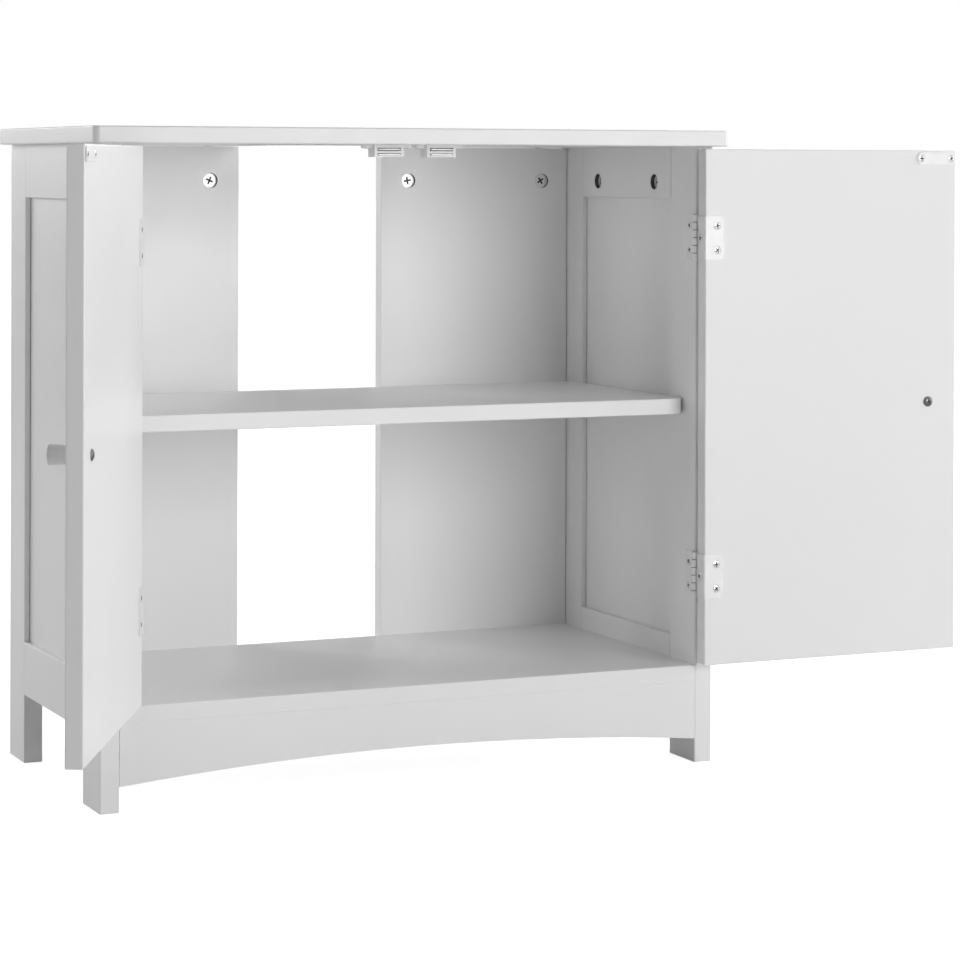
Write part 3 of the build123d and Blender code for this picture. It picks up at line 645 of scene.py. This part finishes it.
def setDoorScrews(hand, side):
    body = f"{hand}_door"
    faceRows = []
    edgeRows = []
    for height in hingeHeights:
        for end, turn in ((-1, 38), (1, 8)):
            place = (side * spots["doorFaceX"], spots["doorFaceY"], height + end * spots["leafStep"])
            faceRows.append((place, (0, 1, 0), upwards, turn))
        place = (side * spots["doorEdgeX"], spots["doorEdgeY"], height)
        edgeRows.append((place, (side, 0, 0), upwards, 30))
    faceScrews = setFittings("leafScrews", faceRows, leafScrew, screwCross, screwSteel)
    edgeScrews = setFittings("edgeScrews", edgeRows, edgeScrew, screwCross, screwSteel)
    mesh = openDoor(joinMeshes(f"{hand}DoorLeafScrews", [faceScrews, edgeScrews]), hand)
    addPiece(f"{hand}DoorLeafScrews", mesh, body, "screw_steel", None, f"{hand}_door_leaf_screws")
    strikeRows = []
    for x, turn in zip(spots["strikeX"], (25, 5)):
        strikeRows.append(((side * x, spots["doorFaceY"], spots["strikeZ"]), (0, 1, 0), upwards, turn))
    name = f"{hand}StrikeScrews"
    mesh = openDoor(setFittings(name, strikeRows, leafScrew, screwCross, screwSteel), hand)
    addPiece(name, mesh, body, "screw_steel", None, f"{hand}_strike_screws")
    knobRow = [((side * spots["knobX"], spots["knobY"], spots["knobZ"]), (0, 1, 0), upwards, 15)]
    name = f"{hand}KnobScrew"
    mesh = openDoor(setFittings(name, knobRow, panScrew, panCross, darkSteel), hand)
    addPiece(name, mesh, body, "screw_steel", None, f"{hand}_knob_screw")


for hand, side in hands.items():
    setDoorScrews(hand, side)
drop(leafScrew, edgeScrew, catchScrew, screwCross, panScrew, panCross)
print("screws set")

# Cam locks: the face lies in a recess, inside a raised rim, and a bore faces the bolt
camSizes = {"radius": 0.0074, "rim": 0.0007, "rimRise": 0.0004, "bore": 0.0038, "boreStart": -0.0026,
            "boreLength": 0.02, "rear": 0.0125, "ease": 0.0003, "faceEase": 0.0002, "segments": 48,
            "recess": {"back": 0.0025, "side": 0.0042, "bottom": 0.0025},
            "middle": {"back": 0.0075, "side": 0.009, "bottom": 0.0075}}
camCrossSizes = {"width": 0.0018, "length": 0.0076, "depth": 0.0005, "taper": 0.95, "rise": 0.002}


def camBlank(family):
    top = -camSizes["recess"][family]
    middle = camSizes["middle"][family]
    radius = camSizes["radius"]
    floor = top - camSizes["rimRise"]
    rear = -camSizes["rear"]
    ease = camSizes["ease"]
    faceEase = camSizes["faceEase"]
    inside = radius - camSizes["rim"]
    profile = [(0, rear), (radius - ease, rear), (radius, rear + ease), (radius, top - faceEase),
               (radius - faceEase, top), (inside, top), (inside - faceEase, floor), (0, floor)]
    blank = linkPiece("camBlank", latheMesh("camBlank", profile, camSizes["segments"]))
    bore = camSizes["bore"]
    length = camSizes["boreLength"]
    bit = linkPiece("camBore", latheMesh("camBore", [(0, 0), (bore, 0), (bore, length), (0, length)], 24))
    across = Matrix.Rotation(math.pi / 2, 4, "Y")
    bit.data.transform(Matrix.Translation((camSizes["boreStart"], 0, -middle)) @ across)
    cut = blank.modifiers.new("bore", "BOOLEAN")
    cut.operation = "DIFFERENCE"
    cut.object = bit
    mesh = tidyMesh(meshOf(blank), 35)
    drop(blank, bit)
    return linkPiece("camBlank", mesh)


# The bare fibreboard round the pocket, from the board's face down to the cam, coloured far darker than fibreboard
# as painted shade in the pocket
liningSizes = {"outer": 0.00009, "inner": 0.00002, "top": -0.00005}


def liningMesh(family):
    count = camSizes["segments"]
    outer = camSizes["radius"] + liningSizes["outer"]
    inner = camSizes["radius"] + liningSizes["inner"]
    top = liningSizes["top"]
    low = -camSizes["recess"][family]
    points = []
    for radius, height in ((outer, top), (inner, top), (inner, low), (outer, low)):
        points += [(x, y, height) for x, y in ringPoints((0, 0), radius, count)]
    faces = []
    for level in range(4):
        lower = level * count
        upper = (level + 1) % 4 * count
        for step in range(count):
            following = (step + 1) % count
            faces.append((lower + step, lower + following, upper + following, upper + step))
    return meshFrom("lining", points, faces)


camPlaces = {"backX": (0.1055, 0.2545), "backY": 0.133, "upperZ": 0.551, "y": (-0.0615, 0.0615),
             "sideX": 0.284, "bottomX": 0.25, "bottomZ": 0.0775}
camTurns = {"back": {-1: (-23, 40), 1: (10, 33)}, "side": (12, 42), "bottom": (25, -15)}
camRows = {"back": [], "side": [], "bottom": []}
for side in hands.values():
    for x, turn in zip(camPlaces["backX"], camTurns["back"][side]):
        place = (side * x, camPlaces["backY"], camPlaces["upperZ"])
        camRows["back"].append((place, (0, -1, 0), upwards, turn))
    for y, turn in zip(camPlaces["y"], camTurns["side"]):
        place = (side * camPlaces["sideX"], y, camPlaces["upperZ"])
        camRows["side"].append((place, (-side, 0, 0), upwards, turn))
    for y, turn in zip(camPlaces["y"], camTurns["bottom"]):
        place = (side * camPlaces["bottomX"], y, camPlaces["bottomZ"])
        camRows["bottom"].append((place, (0, 0, -1), (side, 0, 0), turn))
for family, rows in camRows.items():
    blank = camBlank(family)
    camCross = linkPiece("camCross", crossMesh("camCross", camCrossSizes))
    camCross.data.transform(Matrix.Translation((0, 0, -camSizes["recess"][family] - camSizes["rimRise"])))
    lining = linkPiece("lining", liningMesh(family))
    mesh = setFittings(f"{family}CamLocks", rows, blank, camCross, camZinc)
    addPiece(f"{family}CamLocks", mesh, "cabinet", "cam_zinc", None, f"{family}_cam_locks")
    mesh = setFittings(f"{family}PocketLinings", rows, lining, None, rawFibre)
    addPiece(f"{family}PocketLinings", mesh, "cabinet", "board_lacquer", None)
    drop(blank, camCross, lining)
print("cam locks set")

# Hinges, in millimetres about the pin: across is away from the door, inward is into the cabinet
hingeSizes = {"height": 44, "knuckles": 6, "gap": 0.7, "barrel": 3.2, "sheet": 1.2, "pin": 1.95,
              "plateNear": 1.0, "frameReach": 20, "frameHalf": 22, "frameScrew": 12.3, "doorHalf": 20.75,
              "clear": 3.5, "start": 1.8, "corner": 2, "hole": 3.6, "step": 11.5, "edgeScrew": 9.5,
              "bendAt": 16.5, "bendInner": 0.5, "faceReach": 18.2, "faceScrew": 11.5, "ease": 0.15,
              "rollStart": 50, "roll": -330, "pinEase": 0.5, "pinTip": 0.15, "pinNarrow": 0.7}
millimetre = Matrix.Scale(0.001, 4)


def combLoop(reach, half, parity):
    sizes = hingeSizes
    pitch = sizes["height"] / sizes["knuckles"]
    corners = [(reach, -half), (reach, half)]
    for index in reversed(range(sizes["knuckles"])):
        own = index % 2 == parity
        slack = -sizes["gap"] / 2 if own else sizes["gap"] / 2
        low = index * pitch - sizes["height"] / 2
        near = sizes["start"] if own else sizes["clear"]
        corners.append((near, min(half, low + pitch + slack)))
        corners.append((near, max(-half, low - slack)))
    radii = [sizes["corner"], sizes["corner"]] + [0] * (len(corners) - 2)
    return roundedLoop(corners, radii)


def scrollMesh():
    sizes = hingeSizes
    outer = sizes["barrel"]
    inner = outer - sizes["sheet"]
    half = (sizes["height"] / sizes["knuckles"] - sizes["gap"]) / 2
    ease = sizes["ease"]
    first = math.radians(sizes["rollStart"])
    sweep = math.radians(sizes["roll"])
    steps = 40
    points = []
    for height, cut in ((-half, ease), (ease - half, 0), (half - ease, 0), (half, ease)):
        for radius in (outer - cut, inner + cut):
            for step in range(steps + 1):
                turn = first + sweep * step / steps
                points.append((radius * math.cos(turn), radius * math.sin(turn), height))
    row = steps + 1
    faces = []
    loops = [(0, 0), (1, 0), (2, 0), (3, 0), (3, 1), (2, 1), (1, 1), (0, 1)]
    starts = [(2 * level + wall) * row for level, wall in loops]
    for index, start in enumerate(starts):
        following = starts[(index + 1) % len(starts)]
        for step in range(steps):
            faces.append((start + step, start + step + 1, following + step + 1, following + step))
    faces.append(tuple(starts))
    faces.append(tuple(start + steps for start in starts))
    return meshFrom("scroll", points, faces)


def knuckleTree():
    inputs = {"Knuckle": "Object", "Count": "Int", "First place": "Vector", "Pitch": "Vector",
              "Finish": "Material"}
    tree = startTree("rolledKnuckles", inputs)
    add = tree.nodes.new
    link = tree.links.new
    source = add("NodeGroupInput")
    result = add("NodeGroupOutput")
    line = add("GeometryNodeMeshLine")
    info = add("GeometryNodeObjectInfo")
    copies = add("GeometryNodeInstanceOnPoints")
    both = add("GeometryNodeJoinGeometry")
    solid = add("GeometryNodeRealizeInstances")
    finish = add("GeometryNodeSetMaterial")
    link(source.outputs["Count"], line.inputs["Count"])
    link(source.outputs["First place"], line.inputs["Start Location"])
    link(source.outputs["Pitch"], line.inputs["Offset"])
    link(source.outputs["Knuckle"], info.inputs["Object"])
    link(line.outputs["Mesh"], copies.inputs["Points"])
    link(info.outputs["Geometry"], copies.inputs["Instance"])
    link(source.outputs["Geometry"], both.inputs["Geometry"])
    link(copies.outputs["Instances"], both.inputs["Geometry"])
    link(both.outputs["Geometry"], solid.inputs["Geometry"])
    link(solid.outputs["Geometry"], finish.inputs["Geometry"])
    link(source.outputs["Finish"], finish.inputs["Material"])
    link(finish.outputs["Geometry"], result.inputs["Geometry"])
    return tree


rolledKnuckles = knuckleTree()


# The sheet lies in the plane of (inward, height) first, with its thickness along the third axis
def frameLeafPlate():
    sizes = hingeSizes
    holes = [ringPoints((sizes["frameScrew"], end * sizes["step"]), sizes["hole"], 32) for end in (-1, 1)]
    outline = combLoop(sizes["frameReach"], sizes["frameHalf"], 0)
    mesh = plateMesh([outline, *holes], sizes["sheet"], sizes["ease"])
    middle = sizes["plateNear"] + sizes["sheet"] / 2
    mesh.transform(Matrix(((0, 0, 1, middle), (1, 0, 0, 0), (0, 1, 0, 0), (0, 0, 0, 1))))
    return mesh


def doorLeafPlate():
    sizes = hingeSizes
    neutral = sizes["bendInner"] + sizes["sheet"] / 2
    bendLength = neutral * math.pi / 2
    afterBend = sizes["bendAt"] + bendLength
    reach = afterBend + sizes["faceReach"]
    holes = [ringPoints((sizes["edgeScrew"], 0), sizes["hole"], 32)]
    for end in (-1, 1):
        holes.append(ringPoints((afterBend + sizes["faceScrew"], end * sizes["step"]), sizes["hole"], 32))
    mesh = plateMesh([combLoop(reach, sizes["doorHalf"], 1), *holes], sizes["sheet"], sizes["ease"])
    shape = bmesh.new()
    shape.from_mesh(mesh)
    for step in range(9):
        cut = (sizes["bendAt"] + bendLength * step / 8, 0, 0)
        everything = [*shape.verts, *shape.edges, *shape.faces]
        bmesh.ops.bisect_plane(shape, geom=everything, plane_co=cut, plane_no=(1, 0, 0))
    side = -sizes["plateNear"] - sizes["sheet"]
    for vertex in shape.verts:
        along, height, lift = vertex.co
        lift += sizes["sheet"] / 2
        if along <= sizes["bendAt"]:
            vertex.co = (side + lift, along, height)
        elif along <= afterBend:
            turn = (along - sizes["bendAt"]) / neutral
            swing = sizes["bendInner"] + lift
            across = side - sizes["bendInner"] + swing * math.cos(turn)
            vertex.co = (across, sizes["bendAt"] + swing * math.sin(turn), height)
        else:
            across = side - sizes["bendInner"] - (along - afterBend)
            vertex.co = (across, sizes["bendAt"] + sizes["bendInner"] + lift, height)
    shape.to_mesh(mesh)
    shape.free()
    return mesh


def leafMesh(plate, knuckle, parity):
    sizes = hingeSizes
    pitch = sizes["height"] / sizes["knuckles"]
    holder = linkPiece("leaf", plate)
    modifier = holder.modifiers.new("knuckles", "NODES")
    modifier.node_group = rolledKnuckles
    first = (0.0, 0.0, (parity + 0.5) * pitch - sizes["height"] / 2)
    setInputs(modifier, {"Knuckle": knuckle, "Count": sizes["knuckles"] // 2, "First place": first,
                         "Pitch": (0.0, 0.0, 2 * pitch), "Finish": nickelPlate})
    mesh = meshOf(holder)
    drop(holder)
    mesh.transform(millimetre)
    return tidyMesh(mesh, plateSharp)


def pinMesh():
    half = hingeSizes["height"] / 2
    pin = hingeSizes["pin"]
    narrow = pin * hingeSizes["pinNarrow"]
    tip = hingeSizes["pinTip"]
    ease = hingeSizes["pinEase"]
    profile = [(0, -half), (narrow, tip - half), (pin, ease - half), (pin, half - ease),
               (narrow, half - tip), (0, half)]
    return latheMesh("pin", profile, 24)


scroll = scrollMesh()
frameKnuckle = linkPiece("frameKnuckle", scroll.copy())
doorKnuckle = linkPiece("doorKnuckle", mirrorToHand(scroll.copy(), -1))
frameLeaf = leafMesh(frameLeafPlate(), frameKnuckle, 0)
doorLeaf = leafMesh(doorLeafPlate(), doorKnuckle, 1)
drop(frameKnuckle, doorKnuckle)
pinPlace = {"x": 0.2818, "y": -0.15}
pinMeshes = []
for hand, side in hands.items():
    for level, height in zip(("lower", "upper"), hingeHeights):
        seat = Matrix.Translation((side * pinPlace["x"], pinPlace["y"], height))
        mesh = mirrorToHand(frameLeaf.copy(), side)
        mesh.transform(seat)
        name = f"{hand}{level.capitalize()}HingeFrameLeaf"
        addPiece(name, mesh, "cabinet", "nickel_plate", nickelPlate, f"{hand}_{level}_hinge_frame_leaf")
        mesh = mirrorToHand(doorLeaf.copy(), side)
        mesh.transform(seat)
        name = f"{hand}{level.capitalize()}HingeDoorLeaf"
        addPiece(name, openDoor(mesh, hand), f"{hand}_door", "nickel_plate", nickelPlate,
                 f"{hand}_{level}_hinge_door_leaf")
        mesh = pinMesh()
        mesh.transform(seat @ millimetre)
        pinMeshes.append(mesh)
mesh = joinMeshes("hingePins", pinMeshes)
addPiece("hingePins", mesh, "cabinet", "nickel_plate", darkSteel, "hinge_pins")
print("hinges made")

# Knobs: turned, widening outwards to a rounded end
knobSizes = {"length": 0.020, "base": 0.0074, "end": 0.0084, "rounding": 0.002, "foot": 0.0004,
             "face": -0.148}
knobProfile = [(0, 0), (knobSizes["base"] - knobSizes["foot"], 0), (knobSizes["base"], knobSizes["foot"])]
widening = knobSizes["end"] - knobSizes["base"]
straightEnd = knobSizes["length"] - knobSizes["rounding"]
for step in range(1, 6):
    share = step / 5
    knobProfile.append((knobSizes["base"] + widening * share, straightEnd * share))
for step in range(1, 9):
    turn = math.pi / 2 * step / 8
    knobProfile.append((knobSizes["end"] - knobSizes["rounding"] * (1 - math.cos(turn)),
                        straightEnd + knobSizes["rounding"] * math.sin(turn)))
knobProfile.append((0, knobSizes["length"]))
for hand, side in hands.items():
    mesh = latheMesh("knob", knobProfile, 64)
    seat = Matrix.Translation((side * spots["knobX"], knobSizes["face"], spots["knobZ"]))
    mesh.transform(seat @ Matrix.Rotation(math.pi / 2, 4, "X"))
    mesh = openDoor(evenNormals(mesh), hand)
    addPiece(f"{hand}Knob", mesh, f"{hand}_door", "knob_lacquer", knobLacquer, f"{hand}_knob")

# Strike plates: round at one end, and nearly square at the door's free edge
strikeSizes = {"near": 2.5, "length": 43.5, "low": 568.5, "height": 12, "thickness": 1.2, "ease": 0.2,
               "small": 1.0, "large": 5.6, "face": -133.0, "hole": 3.6}
for hand, side in hands.items():
    sizes = strikeSizes
    far = sizes["near"] + sizes["length"]
    high = sizes["low"] + sizes["height"]
    corners = [(sizes["near"], sizes["low"]), (far, sizes["low"]), (far, high), (sizes["near"], high)]
    outline = roundedLoop(corners, [sizes["small"], sizes["large"], sizes["large"], sizes["small"]], 10)
    holes = [ringPoints((x * 1000, spots["strikeZ"] * 1000), sizes["hole"], 32) for x in spots["strikeX"]]
    mesh = plateMesh([outline, *holes], sizes["thickness"], sizes["ease"])
    middle = sizes["face"] + sizes["thickness"] / 2
    mesh.transform(Matrix(((1, 0, 0, 0), (0, 0, 1, middle), (0, 1, 0, 0), (0, 0, 0, 1))))
    mesh.flip_normals()
    mesh = mirrorToHand(mesh, side)
    mesh.transform(millimetre)
    mesh = openDoor(tidyMesh(mesh, plateSharp), hand)
    addPiece(f"{hand}StrikePlate", mesh, f"{hand}_door", "nickel_plate", nickelPlate, f"{hand}_strike_plate")
print("knobs and strike plates made")

# Catches, in millimetres: a moulded housing, with two slots for its steel plates whose insides are painted
# near-black as painted shade, and two ears under the top
catchSizes = {"width": 29, "depth": 15.7, "front": -130.7, "top": 585, "height": 11.3, "slotWidth": 22.6,
              "slotDepth": 13.4, "poleLow": 575.4, "poleThick": 1.2, "magnet": 3.6, "slack": 0.75,
              "earSpan": 49, "earDepth": 9, "ear": 3.2, "earEase": 0.3, "ease": 0.35, "hole": 3.4,
              "under": 0.2, "over": 0.45}


def catchBody(middle):
    sizes = catchSizes
    half = sizes["width"] / 2
    slot = sizes["slotWidth"] / 2
    lowSlot = (sizes["poleLow"] - sizes["under"], sizes["poleLow"] + sizes["poleThick"] + sizes["over"])
    upper = sizes["poleLow"] + sizes["poleThick"] + sizes["magnet"]
    highSlot = (upper - sizes["slack"], upper + sizes["poleThick"] + sizes["slack"])
    across = [-half, -slot, slot, half]
    heights = [sizes["top"] - sizes["height"], *lowSlot, *highSlot, sizes["top"]]
    front = sizes["front"]
    rear = front + sizes["depth"]
    inside = front + sizes["slotDepth"]
    shape = bmesh.new()

    def quad(*corners, finish=0):
        face = shape.faces.new([shape.verts.new((middle + x, y, z)) for x, y, z in corners])
        face.material_index = finish

    for column in range(3):
        for row in range(5):
            x0, x1 = across[column], across[column + 1]
            z0, z1 = heights[row], heights[row + 1]
            # The slot's inside faces take the second material, painted shade
            if column == 1 and row in (1, 3):
                quad((x0, inside, z0), (x1, inside, z0), (x1, inside, z1), (x0, inside, z1), finish=1)
                quad((x0, front, z0), (x1, front, z0), (x1, inside, z0), (x0, inside, z0), finish=1)
                quad((x0, front, z1), (x1, front, z1), (x1, inside, z1), (x0, inside, z1), finish=1)
                quad((x0, front, z0), (x0, front, z1), (x0, inside, z1), (x0, inside, z0), finish=1)
                quad((x1, front, z0), (x1, front, z1), (x1, inside, z1), (x1, inside, z0), finish=1)
            else:
                quad((x0, front, z0), (x1, front, z0), (x1, front, z1), (x0, front, z1))
            quad((x0, rear, z0), (x1, rear, z0), (x1, rear, z1), (x0, rear, z1))
    for row in range(5):
        for x in (-half, half):
            quad((x, front, heights[row]), (x, rear, heights[row]), (x, rear, heights[row + 1]),
                 (x, front, heights[row + 1]))
    for column in range(3):
        for z in (heights[0], heights[-1]):
            quad((across[column], front, z), (across[column + 1], front, z), (across[column + 1], rear, z),
                 (across[column], rear, z))
    bmesh.ops.remove_doubles(shape, verts=shape.verts, dist=1e-4)
    bmesh.ops.recalc_face_normals(shape, faces=shape.faces)
    mesh = bpy.data.meshes.new("catchBody")
    shape.to_mesh(mesh)
    shape.free()
    mesh.materials.append(whitePlastic)
    mesh.materials.append(darkRecess)
    holder = linkPiece("catchBody", mesh)
    bevel = holder.modifiers.new("ease", "BEVEL")
    bevel.width = sizes["ease"]
    bevel.segments = 2
    bevel.limit_method = "ANGLE"
    bevel.angle_limit = math.radians(40)
    result = meshOf(holder)
    drop(holder)
    return result


def catchEars(middle):
    sizes = catchSizes
    y = sizes["front"] + sizes["depth"] / 2
    reach = sizes["earSpan"] / 2
    half = sizes["earDepth"] / 2
    corners = [(middle - reach, y - half), (middle + reach, y - half), (middle + reach, y + half),
               (middle - reach, y + half)]
    outline = roundedLoop(corners, [half - 0.1] * 4, 8)
    steps = (-spots["catchStep"] * 1000, spots["catchStep"] * 1000)
    holes = [ringPoints((middle + step, y), sizes["hole"], 32) for step in steps]
    mesh = plateMesh([outline, *holes], sizes["ear"], sizes["earEase"])
    mesh.transform(Matrix.Translation((0, 0, sizes["top"] - sizes["ear"] / 2)))
    return mesh


for hand, side in hands.items():
    middle = (side * spots["catchMiddle"] + spots["catchShift"]) * 1000
    mesh = joinMeshes(f"{hand}CatchHousing", [catchBody(middle), catchEars(middle)])
    mesh.transform(millimetre)
    mesh = evenNormals(tidyMesh(mesh))
    addPiece(f"{hand}CatchHousing", mesh, "cabinet", "catch_plastic", None, f"{hand}_catch_housing")
print("catches made")

# Studio: a wide pale floor that reads white, a dim white surround, and soft lights on all sides
floorSize = 60.0
corners = [(x * floorSize, y * floorSize, 0) for x, y in ((-1, -1), (1, -1), (1, 1), (-1, 1))]
floorMesh = bpy.data.meshes.new("floor")
floorMesh.from_pydata(corners, [], [(0, 1, 2, 3)])
floor = linkPiece("floor", floorMesh)
floorPaper = plain("floorPaper", plains["floor"])
floorMesh.materials.append(floorPaper)

# The paper's glow lifts it to white in the picture without lighting the cabinet, the more the farther from
# the lights
paperGlow = {"distance": (1.2, 4.5), "strength": (0.75, 0.98)}
tree = floorPaper.node_tree
paperShader = tree.nodes["Principled BSDF"]
paperShader.inputs["Emission Color"].default_value = (1, 1, 1, 1)
place = tree.nodes.new("ShaderNodeTexCoord")
distance = tree.nodes.new("ShaderNodeVectorMath")
distance.operation = "LENGTH"
rays = tree.nodes.new("ShaderNodeLightPath")
glow = tree.nodes.new("ShaderNodeMath")
glow.operation = "MULTIPLY"
tree.links.new(place.outputs["Object"], distance.inputs[0])
lift = valueFrom(tree, distance.outputs["Value"], paperGlow["distance"], paperGlow["strength"])
tree.links.new(rays.outputs["Is Camera Ray"], glow.inputs[0])
tree.links.new(lift, glow.inputs[1])
tree.links.new(glow.outputs["Value"], paperShader.inputs["Emission Strength"])

studio = {
    "surround": 0.08,
    "mirrored": {"slope": (0.06, 0.2), "strength": (0.85, 0.4)},
    "aim": (0, 0, 0.3),
    "size": 1.6,
    "lights": {
        "front": {"place": (1.16, -3.18, 0.9), "power": 44},
        "right": {"place": (3.18, -1.16, 0.8), "power": 22},
        "rightHigh": {"place": (2.48, 0, 2.78), "power": 35},
        "rearRight": {"place": (2.52, 2.11, 1.5), "power": 23},
        "rearLeft": {"place": (-1.64, 2.85, 1.5), "power": 36},
        "left": {"place": (-3.18, 1.16, 1.2), "power": 22},
        "leftFront": {"place": (-2.4, -2.4, 0.9), "power": 3},
    },
}
world = bpy.data.worlds.new("studio")
world.use_nodes = True
scene.world = world

# The picture shows the surround white. It lights the cabinet dimly, but shiny faces mirror a bright one, the
# brightest at the horizon.
tree = world.node_tree
background = tree.nodes["Background"]
background.inputs["Color"].default_value = (1, 1, 1, 1)
towards = tree.nodes.new("ShaderNodeTexCoord")
slope = tree.nodes.new("ShaderNodeSeparateXYZ")
rays = tree.nodes.new("ShaderNodeLightPath")
shine = tree.nodes.new("ShaderNodeMath")
shine.operation = "MULTIPLY_ADD"
tree.links.new(towards.outputs["Generated"], slope.inputs["Vector"])
mirrored = valueFrom(tree, slope.outputs["Z"], studio["mirrored"]["slope"], studio["mirrored"]["strength"])
tree.links.new(rays.outputs["Is Glossy Ray"], shine.inputs[0])
tree.links.new(mirrored, shine.inputs[1])
tree.links.new(rays.outputs["Is Camera Ray"], shine.inputs[2])
strength = valueFrom(tree, shine.outputs["Value"], (0, 1), (studio["surround"], 1))
tree.links.new(strength, background.inputs["Strength"])
for name, row in studio["lights"].items():
    data = bpy.data.lights.new(name, "AREA")
    data.shape = "SQUARE"
    data.size = studio["size"]
    data.energy = row["power"]
    light = bpy.data.objects.new(name, data)
    scene.collection.objects.link(light)
    away = Vector(row["place"]) - Vector(studio["aim"])
    turned = away.to_track_quat("Z", "Y").to_matrix().to_4x4()
    light.matrix_world = Matrix.Translation(row["place"]) @ turned
    light.visible_camera = False
scene.view_settings.view_transform = "Standard"
print("studio lit")
